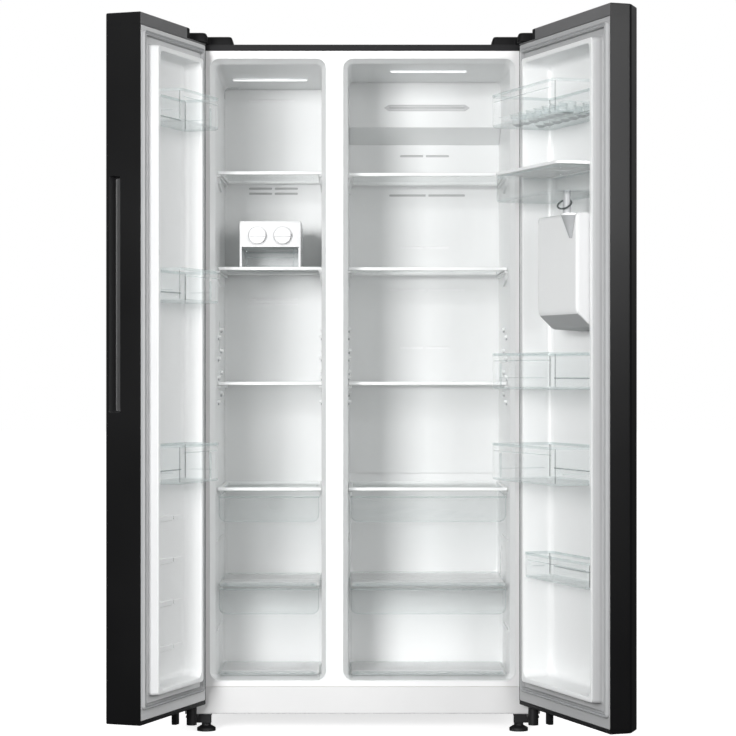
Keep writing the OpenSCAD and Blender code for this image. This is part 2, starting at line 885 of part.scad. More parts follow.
module freezer_door_panel() {
    color(door_black)
        on_freezer_door()
            difference() {
                door_panel(freezer_door_w, freezer_slope);
                pocket_room(0);
            }
}

module freezer_door_trims() {
    on_freezer_door() {
        door_caps(freezer_door_w, freezer_slope, freezer_cap_start);
        color([0.13, 0.13, 0.13])
            difference() {
                block([freezer_door_w - pocket_d - pocket_wall, freezer_door_w - skin_t],
                      [pocket_y[0] - pocket_wall, pocket_y[1] + pocket_wall],
                      [pocket_z[0] - pocket_wall, pocket_z[1] + pocket_wall]);
                pocket_room(0);
            }
    }
}

module freezer_door_liner() {
    color(liner_white) on_freezer_door() door_liner(freezer_door_w, freezer_recess);
}

module freezer_door_gasket() {
    color("gainsboro") on_freezer_door() gasket(freezer_door_w);
}

module freezer_door_foam() {
    color(foam_cream)
        on_freezer_door()
            difference() {
                door_foam(freezer_door_w, freezer_slope, freezer_recess);
                pocket_room(pocket_wall);
            }
}

module freezer_bin(i) {
    color(clear_tint)
        on_freezer_door() bin(freezer_bay, freezer_recess, freezer_bin_out, freezer_bin_z[i]);
}

// ---- Fridge door ----

fridge_slope = [bevel_w, bevel_t];

// The bulge on the liner behind the dispenser, with a sloping underside, shrunk by g
module bulge(g) {
    bar_x([bulge_x[0] + g, bulge_x[1] - g], [
        [-fridge_recess - g, 1022 + g], [bulge_out - 38, 1026 + g], [bulge_out - g, 1061 + g],
        [bulge_out - g, bulge_top - g], [-fridge_recess - g, bulge_top - g]
    ]);
}

module niche_room(g) {
    block([niche_x[0] - g, niche_x[1] + g], [-door_t - cut, niche_back + g],
          [niche_bottom - g, niche_top + g]);
}

module fridge_door_panel() {
    color(door_black)
        on_fridge_door()
            difference() {
                door_panel(fridge_door_w, fridge_slope);
                niche_room(0);
            }
}

module fridge_door_trims() {
    on_fridge_door() {
        door_caps(fridge_door_w, fridge_slope, fridge_cap_start);
        color([0.10, 0.10, 0.11])
            difference() {
                block([niche_x[0] - niche_wall, niche_x[1] + niche_wall],
                      [-door_t + skin_t, niche_back + niche_wall],
                      [niche_bottom - niche_wall, niche_top + niche_wall]);
                niche_room(0);
            }
        color([0.10, 0.10, 0.11])
            rod_x([niche_x[0] - cut, niche_x[1] + cut], paddle_y, paddle_z, paddle_pin_r);
    }
}

module fridge_door_liner() {
    color(liner_white)
        on_fridge_door()
            difference() {
                union() {
                    door_liner(fridge_door_w, fridge_recess);
                    bulge(0);
                }
                bulge(liner_t);
            }
}

module fridge_door_gasket() {
    color("gainsboro") on_fridge_door() gasket(fridge_door_w);
}

module fridge_door_foam() {
    color(foam_cream)
        on_fridge_door()
            difference() {
                union() {
                    door_foam(fridge_door_w, fridge_slope, fridge_recess);
                    bulge(liner_t);
                }
                niche_room(niche_wall);
            }
}

module fridge_bin(i) {
    color(clear_tint)
        on_fridge_door() bin(fridge_bay, fridge_recess, fridge_bin_out[i], fridge_bin_z[i]);
}

// The water tank, with an ear and a pin at each end for the lid
module water_tank() {
    wall = 2.5;
    high = tank_top - lid_t - lid_gap - tank_bottom;
    x = [fridge_bay[0] + move_gap, fridge_bay[1] - move_gap];
    color(clear_tint)
        on_fridge_door()
            difference() {
                translate([0, 0, tank_bottom])
                    linear_extrude(high) bin_plan(fridge_bay, fridge_recess, tank_out, 0);
                translate([0, 0, tank_bottom + wall])
                    linear_extrude(high) bin_plan(fridge_bay, fridge_recess, tank_out, wall);
                translate([tap_x, tap_y, tank_bottom - cut]) cylinder(r = 9 + pin_play, h = 10);
            }
    color(clear_tint)
        on_fridge_door()
            for (end = [0, 1]) {
                block([x[end] - 3 * end, x[end] + 3 * (1 - end)], [lid_y - 4, lid_y + 4],
                      [tank_bottom + high - cut, tank_top - 1]);
                rod_x([x[end] - 9 * end, x[end] + 9 * (1 - end)], lid_y, tank_top - lid_t / 2, 1.5);
            }
}

// The lid, with a round back edge on its hinge axis
module tank_lid() {
    lid_z = [tank_top - lid_t, tank_top];
    ends = [fridge_bay[0] + move_gap, fridge_bay[1] - move_gap];
    color(frame_white)
        on_fridge_door()
            difference() {
                union() {
                    difference() {
                        translate([0, 0, lid_z[0]])
                            linear_extrude(lid_t) bin_plan(fridge_bay, fridge_recess, tank_out, 0);
                        block([0, fridge_door_w], [-door_t, lid_y], [0, door_top]);
                        for (x = ends)
                            block([x - 4, x + 4], [lid_y - cut, lid_y + 6], [0, door_top]);
                    }
                    rod_x([ends[0] + 4, ends[1] - 4], lid_y, tank_top - lid_t / 2, lid_t / 2);
                }
                rod_x([ends[0], ends[1]], lid_y, tank_top - lid_t / 2, 1.5 + pin_play);
            }
}

// The valve under the tank, and below it the grey funnel, half a cone with its flat side on the bulge
module water_tap() {
    funnel_top = 1297;
    funnel_bottom = 1239;
    color([0.72, 0.73, 0.74])
        on_fridge_door() {
            translate([tap_x, tap_y, funnel_top - 2]) cylinder(r = 10, h = tank_bottom - funnel_top);
            translate([tap_x, tap_y, funnel_top - 2]) cylinder(r = 9, h = tank_bottom - funnel_top + 8);
            intersection() {
                translate([tap_x, bulge_out + 2, funnel_bottom])
                    cylinder(r1 = 4, r2 = 24, h = funnel_top - funnel_bottom);
                block([tap_x - 30, tap_x + 30], [bulge_out + 0.5, bulge_out + 30],
                      [funnel_bottom - 1, funnel_top + 1]);
            }
        }
}

module dispenser_paddle() {
    mid = (niche_x[0] + niche_x[1]) / 2;
    y = paddle_y;
    color([0.16, 0.16, 0.17])
        on_fridge_door()
            difference() {
                union() {
                    rod_x([mid - 30, mid + 30], y, paddle_z, 6);
                    slab_y([mid - 26, mid + 26], [y - 2, y + 2], [1150, paddle_z], 8);
                }
                rod_x([mid - 31, mid + 31], y, paddle_z, paddle_pin_r + pin_play);
            }
}

module drip_tray() {
    color([0.30, 0.30, 0.31])
        on_fridge_door()
            difference() {
                block([niche_x[0] + 2, niche_x[1] - 2], [-door_t, niche_back - 3],
                      [niche_bottom + move_gap, niche_bottom + 16]);
                block([niche_x[0] + 4, niche_x[1] - 4], [-door_t + 2, niche_back - 5],
                      [niche_bottom + 3, niche_bottom + 13]);
                for (i = [0 : 11])
                    slab_z([niche_x[0] + 14 + i * 13, niche_x[0] + 20 + i * 13],
                           [-door_t + 12, niche_back - 14], [niche_bottom + 12, niche_bottom + 17], 2.9);
            }
}

outer_case();
rear_panel();
base_plate();
cabinet_foam();
freezer_liner();
fridge_liner();
front_frame();
top_trim();
bottom_rail();
hinge_covers();
door_hinges();
freezer_air_panel();
fridge_air_duct();
lamp_lenses();
evaporator();
compressor();
condenser();
machine_cover();
evaporator_fan();
rear_rollers();
levelling_foot(-1);  // foot_left
levelling_foot(1);  // foot_right
for (i = [0 : 2])
    freezer_shelf(i);
for (i = [0 : 2])
    fridge_shelf(i);
freezer_drawer_cover();
fridge_drawer_cover();
for (i = [0 : 1])
    freezer_drawer(i);
for (i = [0 : 1])
    fridge_drawer(i);
ice_maker_housing();
ice_knob(-1);  // ice_knob_left
ice_knob(1);  // ice_knob_right
ice_box();
freezer_door_panel();
freezer_door_trims();
freezer_door_liner();
freezer_door_gasket();
freezer_door_foam();
for (i = [0 : 2])
    freezer_bin(i);
fridge_door_panel();
fridge_door_trims();
fridge_door_liner();
fridge_door_gasket();
fridge_door_foam();
for (i = [0 : 3])
    fridge_bin(i);
water_tank();
tank_lid();
water_tap();
dispenser_paddle();
drip_tray();
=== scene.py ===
"""Side by side refrigerator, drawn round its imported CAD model.

Lengths are in millimetres until Shape.to_object(). A door's own axes are x from its hinge edge, y out of its
liner towards the compartment, and z up.
"""
from math import cos, pi, radians, sin

import bmesh
import bpy
from mathutils import Matrix, Vector


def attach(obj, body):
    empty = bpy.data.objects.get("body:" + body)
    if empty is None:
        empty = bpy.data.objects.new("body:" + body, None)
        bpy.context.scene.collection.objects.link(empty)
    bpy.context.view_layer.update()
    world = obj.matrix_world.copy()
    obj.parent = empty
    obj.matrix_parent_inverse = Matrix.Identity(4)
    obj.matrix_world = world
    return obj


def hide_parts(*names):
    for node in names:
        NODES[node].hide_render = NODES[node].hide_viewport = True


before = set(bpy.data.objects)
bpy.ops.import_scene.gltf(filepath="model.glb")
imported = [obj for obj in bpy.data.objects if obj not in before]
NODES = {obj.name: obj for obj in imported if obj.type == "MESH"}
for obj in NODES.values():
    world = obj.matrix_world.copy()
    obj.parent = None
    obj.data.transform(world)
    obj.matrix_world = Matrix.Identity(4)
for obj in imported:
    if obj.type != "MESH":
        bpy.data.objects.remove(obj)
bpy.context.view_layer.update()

# ---- Sizes of the object ----

HALF_W, CAB_D, CAB_TOP, CAB_BOTTOM = 455, 540, 1762, 46
# The front frame's ends and thickness, with the dark strip above it and the grey rail below it
FRAME_LOW, FRAME_HIGH, FRAME_T = 116, 1746, 3
FLOOR_Z, CEILING_Z, INNER_D = 131.5, 1726, 485
# The raised rear of both compartments, over the machine space
HUMP_Y, HUMP_Z = 330, 363
MOUTHS = {"freezer": (-391, -93.5), "fridge": (-49.5, 391)}
INSIDES = {"freezer": (-379, -105.5), "fridge": (-37.5, 379)}
# Height of each ceiling behind the mouth and at the back wall
ROOFS = {"freezer": (1714, 1700), "fridge": (1716, 1716)}
# Front faces of the freezer's rear panel, the upper air duct and the flat duct below it
AIR_PANEL_Y, DUCT_Y, LOW_DUCT_Y = 440, 400, 478
SHELVES = {"freezer": (1439, 1189, 888), "fridge": (1435, 1188, 888)}
SHELF_Y, COVER_Y, COVER_Z, SHELF_H = (120, 432), (90, 432), 613, 9
ICE_X, ICE_Y, ICE_LOW, ICE_TOP = (-322, -162), (130, 330), 1198.2, 1318
KNOB_X, KNOB_Z = {"left": -275, "right": -209}, 1280

# Heights of the doors' lower end, of the steel skin's two ends and of the doors' upper end
DOOR_LOW, CORE_LOW, CORE_TOP, DOOR_TOP = 75, 85, 1756, 1786
DOOR_T, DOOR_W = 93, {"freezer": 383, "fridge": 522}
# The slope along the outer edge of each free end, and where the upper cap starts
SLOPE = {"freezer": (3, 3), "fridge": (46, 38)}
CAP_START = {"freezer": 92, "fridge": 74}
# The raised rim of the liners, and the depth of the recess inside it
DYKE_Z, DYKE_H = (142, 1712), 28
RECESS = {"freezer": 22, "fridge": 50}
POCKET_Y, POCKET_Z = (-84, -54), (824, 1394)
NICHE_X, NICHE_Z = (277, 457), (1045, 1285)
BULGE_X, BULGE_TOP = (238, 467.7), 1299.6
# Low edge, high edge and reach of each bin, and whether it has an upright rib
BINS = {"freezer": ((1526, 1606, 82, True), (1093, 1174, 82, True), (651, 746, 82, True)),
        "fridge": ((1530, 1612, 120, False), (880, 969, 120, True), (654, 746, 120, True),
                   (408, 472, 30, False))}
# Largest radius of the bins' front corners
BIN_TURN = 18
TANK_Z, TANK_OUT = (1345.1, 1410.3), 109
LID_AXIS, LID_X = (-40, 1416), (93, 463)
TAP_X, TAP_Y, FUNNEL_Y = 438, 72, 62

MIRROR = Matrix.Scale(-1, 4, (1, 0, 0))


def door_place(which):
    """Matrix from an open door's own axes to the cabinet's."""
    pin, from_pin, turn = (-435, -40, 0), (-20, 30, 0), -110
    place = Matrix.Translation(pin) @ Matrix.Rotation(radians(turn), 4, "Z") @ Matrix.Translation(from_pin)
    return MIRROR @ place if which == "fridge" else place


def room_x(which):
    """The two sides of the recess in a door's liner."""
    return (88, DOOR_W[which] - 54)


# ---- Outlines: closed lists of (u, v) points ----

def grow(span, g):
    return (span[0] - g, span[1] + g)


def corners(u, v):
    return [(u[0], v[0]), (u[1], v[0]), (u[1], v[1]), (u[0], v[1])]


def arc(centre, r, start, turn=90, steps=6):
    return [(centre[0] + r * cos(radians(start + turn * i / steps)),
             centre[1] + r * sin(radians(start + turn * i / steps))) for i in range(steps + 1)]


def rounded(u, v, r, steps=6):
    r = max(r, 0.05)
    return (arc((u[1] - r, v[0] + r), r, -90, 90, steps) + arc((u[1] - r, v[1] - r), r, 0, 90, steps)
            + arc((u[0] + r, v[1] - r), r, 90, 90, steps) + arc((u[0] + r, v[0] + r), r, 180, 90, steps))


def fillet(points, radii, steps=6, closed=True):
    """The polygon with each corner rounded off by its own radius."""
    out = []
    count = len(points)
    for i, (point, r) in enumerate(zip(points, radii)):
        if r <= 0 or (not closed and i in (0, count - 1)):
            out.append(tuple(point))
            continue
        here = Vector(point)
        a = (Vector(points[i - 1]) - here).normalized()
        b = (Vector(points[(i + 1) % count]) - here).normalized()
        half = a.angle(b) / 2
        reach = r / max(sin(half), 1e-6) * cos(half)
        start, end = here + a * reach, here + b * reach
        for k in range(steps + 1):
            t = k / steps
            out.append(tuple(start * (1 - t) ** 2 + here * 2 * t * (1 - t) + end * t ** 2))
    return out


AXES = {"x": lambda u, v, w: (w, u, v), "y": lambda u, v, w: (u, w, v), "z": lambda u, v, w: (u, v, w)}


class Shape:
    """A mesh made of closed bodies, most of them with rounded edges."""

    def __init__(self, place=None):
        self.mesh = bmesh.new()
        self.place = place or Matrix.Identity(4)
        self.materials = []

    def slot_of(self, material):
        if material not in self.materials:
            self.materials.append(material)
        return self.materials.index(material)

    def loft(self, rings, axis, material, bands=None, ring_closed=False):
        """Skin over rings of (outline, place along the axis)."""
        put = AXES[axis]
        rows = [[put(u, v, w) for u, v in outline] for outline, w in rings]
        return self.skin(rows, material, bands, ring_closed)

    def skin(self, rows, material, bands=None, ring_closed=False):
        """Skin over rows of points, closed at both ends or from the last row back to the first.

        bands gives a material of its own to some of the steps from row to row.
        """
        bands = bands or {}
        rows = [[self.mesh.verts.new(point) for point in row] for row in rows]
        faces = []
        count = len(rows[0])
        steps = len(rows) if ring_closed else len(rows) - 1
        for step in range(steps):
            low, high = rows[step], rows[(step + 1) % len(rows)]
            used = self.slot_of(bands.get(step, material))
            for i in range(count):
                j = (i + 1) % count
                face = self.mesh.faces.new((low[i], low[j], high[j], high[i]))
                face.material_index = used
                faces.append(face)
        if not ring_closed:
            for row, step in ((rows[0], 0), (rows[-1], steps - 1)):
                face = self.mesh.faces.new(row)
                face.material_index = self.slot_of(bands.get(step, material))
                faces.append(face)
        bmesh.ops.recalc_face_normals(self.mesh, faces=faces)
        return faces

    def soften(self, faces, size, segments):
        """Rounds the edges between the faces that meet at more than 25 degrees."""
        edges = [e for e in {e for f in faces for e in f.edges}
                 if len(e.link_faces) == 2 and e.calc_face_angle(0) > radians(25)]
        bmesh.ops.bevel(self.mesh, geom=edges, offset=size, segments=segments, profile=0.5,
                        affect="EDGES", clamp_overlap=True)

    def prism(self, outline, w, axis, material, edge=0.0, segments=2):
        faces = self.loft([(outline, w[0]), (outline, w[1])], axis, material)
        if edge:
            self.soften(faces, edge, segments)

    def block(self, x, y, z, material, edge=1.0, segments=2):
        self.prism(corners(x, y), z, "z", material, edge, segments)

    def lathe(self, centre, profile, axis, material, sides=32, bands=None):
        """Turned body: profile is a list of (radius, place along the axis) from end to end."""
        rings = []
        for r, w in profile:
            r = max(r, 0.02)
            circle = [(centre[0] + r * cos(2 * pi * i / sides), centre[1] + r * sin(2 * pi * i / sides))
                      for i in range(sides)]
            rings.append((circle, w))
        self.loft(rings, axis, material, bands)

    def rod(self, centre, r, w, axis, material, edge=0.6, sides=28):
        edge = min(edge, r / 2, abs(w[1] - w[0]) / 3)
        self.lathe(centre, [(r - edge, w[0]), (r - edge * 0.3, w[0] + edge * 0.3), (r, w[0] + edge),
                            (r, w[1] - edge), (r - edge * 0.3, w[1] - edge * 0.3), (r - edge, w[1])],
                   axis, material, sides)

    def screw(self, centre, r, w, axis, out, material):
        """A domed screw head with a cross recess; out is the side that it faces."""
        profile = [(r * across, w + out * r * up) for across, up in
                   ((1, 0), (1, 0.25), (0.8, 0.45), (0.35, 0.5), (0.3, 0.2), (0, 0.15))]
        self.lathe(centre, profile, axis, material, 20)

    def to_object(self, name):
        """The mesh as an object of the scene, in metres."""
        scale = Matrix.Scale(0.001, 4)
        bmesh.ops.transform(self.mesh, matrix=scale @ self.place, verts=self.mesh.verts)
        bmesh.ops.remove_doubles(self.mesh, verts=self.mesh.verts, dist=1e-6)
        if self.place.determinant() < 0:
            bmesh.ops.reverse_faces(self.mesh, faces=self.mesh.faces)
        data = bpy.data.meshes.new(name)
        self.mesh.to_mesh(data)
        self.mesh.free()
        for material in self.materials:
            data.materials.append(material)
        piece = bpy.data.objects.new(name, data)
        bpy.context.scene.collection.objects.link(piece)
        return piece

    def done(self, name, body, stands_for=(), sharp=32):
        piece = self.to_object(name)
        finish_mesh(piece, sharp)
        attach(piece, body)
        if stands_for:
            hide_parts(*stands_for)
        return piece


def finish_mesh(piece, sharp=32):
    """Smooth shading that keeps creases, and flat faces that stay flat next to rounded edges."""
    piece.data.shade_smooth()
    piece.data.set_sharp_from_angle(angle=radians(sharp))
    weigh = piece.modifiers.new("weigh", "WEIGHTED_NORMAL")
    weigh.keep_sharp, weigh.weight = True, 60


def carve(piece, cutters, edge=0.0):
    """Takes the cutters' shapes out of the piece, then rounds its sharp edges."""
    for cutter in cutters:
        modifier = piece.modifiers.new("carve", "BOOLEAN")
        modifier.operation, modifier.solver, modifier.object = "DIFFERENCE", "EXACT", cutter
    if edge:
        add_bevel(piece, edge)
    bpy.context.view_layer.update()
    shown = piece.evaluated_get(bpy.context.evaluated_depsgraph_get())
    made = bpy.data.meshes.new_from_object(shown)
    piece.modifiers.clear()
    piece.data = made
    for cutter in cutters:
        bpy.data.objects.remove(cutter)
    finish_mesh(piece)


def cutter(outline, w, axis, place=None):
    shape = Shape(place)
    shape.loft([(outline, w[0]), (outline, w[1])], axis, None)
    shape.materials.clear()
    return shape.to_object("cutter")


def add_bevel(piece, size_mm):
    weld = piece.modifiers.new("weld", "WELD")
    weld.merge_threshold = 1e-5
    bevel = piece.modifiers.new("bevel", "BEVEL")
    bevel.width, bevel.segments = size_mm / 1000, 2
    bevel.limit_method, bevel.angle_limit = "ANGLE", radians(35)
    bevel.use_clamp_overlap, bevel.harden_normals = True, False


# ---- Materials ----

ROUGH_VARY, GRAIN_DEPTH, WAVE_DEPTH = 0.06, 0.0004, 0.0005


def new_tree(owner):
    owner.use_nodes = True
    owner.node_tree.nodes.clear()
    return owner.node_tree


def add_node(tree, kind, **values):
    """A shader node with its inputs filled in. An underscore stands for a space in an input's name."""
    node = tree.nodes.new("ShaderNode" + kind)
    for name, value in values.items():
        node.inputs[name.replace("_", " ")].default_value = value
    return node


def add_noise(tree, scale, detail=2):
    where = add_node(tree, "TexCoord")
    noise = add_node(tree, "TexNoise", Scale=scale, Detail=detail)
    tree.links.new(where.outputs["Object"], noise.inputs["Vector"])
    return noise.outputs["Fac"]


def add_ramp(tree, source, colours, ends=(0, 1)):
    ramp = add_node(tree, "ValToRGB")
    for element, place, colour in zip(ramp.color_ramp.elements, ends, colours):
        element.position, element.color = place, tuple(min(1, c) for c in colour) + (1,)
    tree.links.new(source, ramp.inputs["Fac"])
    return ramp.outputs["Color"]


def add_relief(tree, shader, source, strength, depth):
    relief = add_node(tree, "Bump", Strength=strength, Distance=depth)
    tree.links.new(source, relief.inputs["Height"])
    tree.links.new(relief.outputs["Normal"], shader.inputs["Normal"])


def add_mix(tree, amount, first, second, output):
    mix = add_node(tree, "MixShader")
    tree.links.new(amount, mix.inputs["Fac"])
    tree.links.new(first, mix.inputs[1])
    tree.links.new(second, mix.inputs[2])
    tree.links.new(mix.outputs["Shader"], add_node(tree, output).inputs["Surface"])


def surface(name, colour, rough, vary, patch, grain, bump, metal=0.0, specular=0.5, glow=0.0):
    """Moulded plastic, paint or metal: slow colour and gloss changes, and a fine grain in the surface."""
    material = bpy.data.materials.new(name)
    tree = new_tree(material)
    shader = add_node(tree, "BsdfPrincipled", Metallic=metal, Specular_IOR_Level=specular,
                      Emission_Strength=glow)
    slow = add_noise(tree, patch, 4)
    shades = [[c * (1 + change) for c in colour] for change in (-vary, vary)]
    tree.links.new(add_ramp(tree, slow, shades, (0.3, 0.7)), shader.inputs["Base Color"])
    gloss = add_node(tree, "MapRange", To_Min=rough - ROUGH_VARY, To_Max=rough + ROUGH_VARY)
    tree.links.new(slow, gloss.inputs["Value"])
    tree.links.new(gloss.outputs["Result"], shader.inputs["Roughness"])
    add_relief(tree, shader, add_noise(tree, grain, 3), bump, GRAIN_DEPTH)
    tree.links.new(shader.outputs["BSDF"], add_node(tree, "OutputMaterial").inputs["Surface"])
    return material


def clear(name, tint, colour, least, most):
    """Clear plastic or glass: see-through face on, and more solid towards its edges."""
    material = bpy.data.materials.new(name)
    tree = new_tree(material)
    through = add_node(tree, "BsdfTransparent", Color=tint + (1,))
    shader = add_node(tree, "BsdfPrincipled", Roughness=0.06)
    shades = [[c * change for c in colour] for change in (0.95, 1.04)]
    tree.links.new(add_ramp(tree, add_noise(tree, 9), shades), shader.inputs["Base Color"])
    add_relief(tree, shader, add_noise(tree, 40), 0.08, WAVE_DEPTH)
    weight = add_node(tree, "LayerWeight", Blend=0.35)
    amount = add_node(tree, "MapRange", To_Min=least, To_Max=most)
    tree.links.new(weight.outputs["Facing"], amount.inputs["Value"])
    add_mix(tree, amount.outputs["Result"], through.outputs["BSDF"], shader.outputs["BSDF"], "OutputMaterial")
    return material


WHITE = surface("frame_white", (0.90, 0.90, 0.90), 0.34, 0.012, 5, 1400, 0.04)
LINER = surface("liner_white", (0.86, 0.87, 0.87), 0.30, 0.015, 4, 700, 0.05)
PANEL_WHITE = surface("panel_white", (0.80, 0.81, 0.81), 0.42, 0.015, 5, 1200, 0.08)
BEZEL = surface("bezel_grey", (0.60, 0.605, 0.61), 0.40, 0.02, 10, 1200, 0.05)
SHELF_WHITE = surface("shelf_trim_white", (0.93, 0.94, 0.94), 0.30, 0.01, 8, 1200, 0.04)
RAIL = surface("rail_grey", (0.74, 0.74, 0.74), 0.40, 0.02, 5, 1400, 0.05)
TRIM = surface("trim_dark", (0.014, 0.014, 0.015), 0.55, 0.10, 12, 1600, 0.10, specular=0.15)
COVER = surface("cover_black", (0.006, 0.006, 0.0065), 0.50, 0.15, 14, 1800, 0.14, specular=0.15)
CASE = surface("case_paint", (0.045, 0.045, 0.048), 0.40, 0.08, 3, 1100, 0.12)
REAR = surface("rear_sheet", (0.45, 0.46, 0.47), 0.38, 0.05, 4, 1500, 0.05, metal=0.7)
STEEL = surface("base_steel", (0.10, 0.10, 0.105), 0.42, 0.10, 8, 900, 0.08, metal=0.8)
PLATED = surface("plated_steel", (0.62, 0.62, 0.61), 0.30, 0.06, 20, 700, 0.06, metal=1.0)
HINGE = surface("hinge_black_steel", (0.018, 0.018, 0.019), 0.45, 0.15, 25, 900, 0.10, specular=0.25)
FOAM = surface("foam", (0.82, 0.76, 0.56), 0.85, 0.10, 60, 400, 0.6)
LAMP = surface("lamp_lens", (0.95, 0.97, 1.0), 0.35, 0.01, 30, 600, 0.10, glow=0.62)
# Greyer liner for the flat edge and the rim's outer side: painted shade, darker on the fridge door than on
# the freezer door
SHADED_SIDES = {"freezer": surface("freezer_liner_side_painted_shade", (0.66, 0.665, 0.67), 0.40, 0.02, 5, 700, 0.05),
         "fridge": surface("fridge_liner_side_painted_shade", (0.46, 0.465, 0.47), 0.40, 0.02, 5, 700, 0.05)}
# Darker greys for the bulge's side wall and sloping underside: painted shade, the underside darker
BULGE_SIDE_SHADE = surface("bulge_side_painted_shade", (0.60, 0.605, 0.61), 0.45, 0.02, 5, 700, 0.05)
BULGE_UNDERSIDE_SHADE = surface("bulge_underside_painted_shade", (0.40, 0.405, 0.41), 0.45, 0.02, 5, 700, 0.05)
# Plates behind the air slots: painted shade, in a darker and a lighter grey
SLOT_SHADE = surface("slot_painted_shade", (0.50, 0.505, 0.51), 0.55, 0.03, 20, 900, 0.08)
SLOT_SHADE_LIGHT = surface("slot_painted_shade_light", (0.84, 0.845, 0.85), 0.50, 0.03, 20, 900, 0.08)
COIL = surface("coil_metal", (0.72, 0.73, 0.75), 0.36, 0.06, 30, 1200, 0.08, metal=1.0)
BLACK_PAINT = surface("compressor_black", (0.020, 0.020, 0.022), 0.40, 0.20, 16, 1000, 0.12)
GRILLE = surface("grille_dark", (0.035, 0.035, 0.038), 0.60, 0.12, 16, 1400, 0.20)
FAN = surface("fan_white", (0.66, 0.66, 0.66), 0.45, 0.03, 20, 1200, 0.06)
ROLLER = surface("roller_grey", (0.08, 0.08, 0.08), 0.60, 0.10, 30, 1400, 0.15)
FOOT = surface("foot_black", (0.012, 0.012, 0.013), 0.50, 0.20, 30, 1600, 0.20)
ICE = surface("ice_white", (0.74, 0.745, 0.75), 0.28, 0.01, 10, 1200, 0.04)
BLACK = surface("door_black", (0.0035, 0.0035, 0.0038), 0.30, 0.10, 3, 1600, 0.05, specular=0.26)
CAP = surface("door_cap", (0.145, 0.145, 0.148), 0.38, 0.05, 10, 1600, 0.12)
CAP_LOW = surface("door_cap_low", (0.010, 0.010, 0.011), 0.50, 0.12, 10, 1600, 0.15, specular=0.2)
POCKET = surface("pocket_grey", (0.030, 0.030, 0.031), 0.45, 0.10, 10, 1600, 0.15)
GASKET = surface("gasket_rubber", (0.36, 0.365, 0.37), 0.55, 0.03, 20, 1400, 0.15)
KNOB = surface("knob_white", (0.80, 0.80, 0.805), 0.26, 0.01, 14, 1200, 0.04)
LID = surface("lid_white", (0.90, 0.91, 0.91), 0.26, 0.01, 8, 1200, 0.04)
TAP = surface("tap_grey", (0.40, 0.41, 0.42), 0.40, 0.04, 20, 1200, 0.08)
NICHE = surface("niche_dark", (0.020, 0.020, 0.022), 0.38, 0.10, 12, 1400, 0.12)
GLASS = clear("shelf_glass", (0.99, 0.995, 0.993), (0.84, 0.88, 0.87), 0.015, 0.22)
GLASS_EDGE = clear("shelf_glass_edge", (0.80, 0.90, 0.88), (0.60, 0.72, 0.70), 0.45, 0.85)
CLEAR = clear("clear_plastic", (0.997, 0.999, 0.999), (0.88, 0.90, 0.90), 0.012, 0.14)
CLEAR_EDGE = clear("clear_plastic_edge", (0.955, 0.97, 0.97), (0.66, 0.72, 0.72), 0.05, 0.45)
LINE = clear("clear_plastic_line", (0.60, 0.64, 0.64), (0.12, 0.13, 0.13), 0.50, 0.80)
DRAWER = clear("drawer_plastic", (0.999, 0.999, 0.999), (0.92, 0.93, 0.93), 0.006, 0.09)
DRAWER_FLOOR = clear("drawer_floor", (0.995, 0.997, 0.997), (0.96, 0.965, 0.965), 0.35, 0.60)
DRAWER_BAND = clear("drawer_band", (0.992, 0.995, 0.995), (0.88, 0.90, 0.90), 0.02, 0.12)
DRAWER_EDGE = clear("drawer_edge", (0.94, 0.955, 0.955), (0.62, 0.65, 0.65), 0.06, 0.45)
SMOKE = clear("tank_plastic", (0.972, 0.975, 0.975), (0.60, 0.61, 0.61), 0.04, 0.30)


# ---- Cabinet ----

def dress(node, material, edge):
    """A CAD node whose shape is right keeps it, with rounded edges and a proper material."""
    piece = NODES[node]
    piece.data.materials.clear()
    piece.data.materials.append(material)
    if edge:
        add_bevel(piece, edge)
    finish_mesh(piece)


for node, material, edge in (
        ("base_plate", STEEL, 0.6), ("door_hinges", HINGE, 0.8), ("cabinet_foam", FOAM, 0),
        ("freezer_air_panel", PANEL_WHITE, 0.8), ("fridge_air_duct", PANEL_WHITE, 0.8),
        ("evaporator", COIL, 0), ("compressor", BLACK_PAINT, 0.8), ("condenser", BLACK_PAINT, 0),
        ("machine_cover", GRILLE, 0.3), ("evaporator_fan", FAN, 0.4), ("rear_rollers", ROLLER, 1.5),
        ("foot_left", FOOT, 0.6), ("foot_right", FOOT, 0.6),
        ("ice_knob_left", ICE, 0.8), ("ice_knob_right", ICE, 0.8),
        ("dispenser_paddle", NICHE, 1.0), ("drip_tray", NICHE, 0.5)):
    dress(node, material, edge)


def make_case():
    """The folded skin, open at the front, the back and the bottom."""
    shape = Shape()

    def walls(inset, r):
        side, top = HALF_W - inset, CAB_TOP - inset
        return fillet([(-side, CAB_BOTTOM), (-side, top), (side, top), (side, CAB_BOTTOM)], [0, r, r, 0])

    shape.prism(walls(0, 5) + walls(1.2, 4)[::-1], (3.2, CAB_D - 1.6), "y", CASE)
    shape.done("case_skin", "cabinet", ["outer_case"])


def make_back_sheet():
    """The rear sheet with seven upright beads and two rows of screws."""
    shape = Shape()
    low, high = HUMP_Z - 23, CAB_TOP - 0.5
    shape.block((-HALF_W + 0.3, HALF_W - 0.3), (CAB_D - 1.5, CAB_D - 0.6), (low, high), REAR, 0.3, 1)
    for x in range(-360, 361, 120):
        bead = rounded((x - 9, x + 9), (low + 60, high - 60), 9)
        shape.prism(bead, (CAB_D - 0.8, CAB_D - 0.1), "y", REAR, 0.25, 1)
    for x in range(-445, 446, 178):
        for z in (low + 14, high - 14):
            shape.screw((x, z), 3.6, CAB_D - 0.7, "y", 0.35, STEEL)
    shape.done("back_sheet", "cabinet", ["rear_panel"])


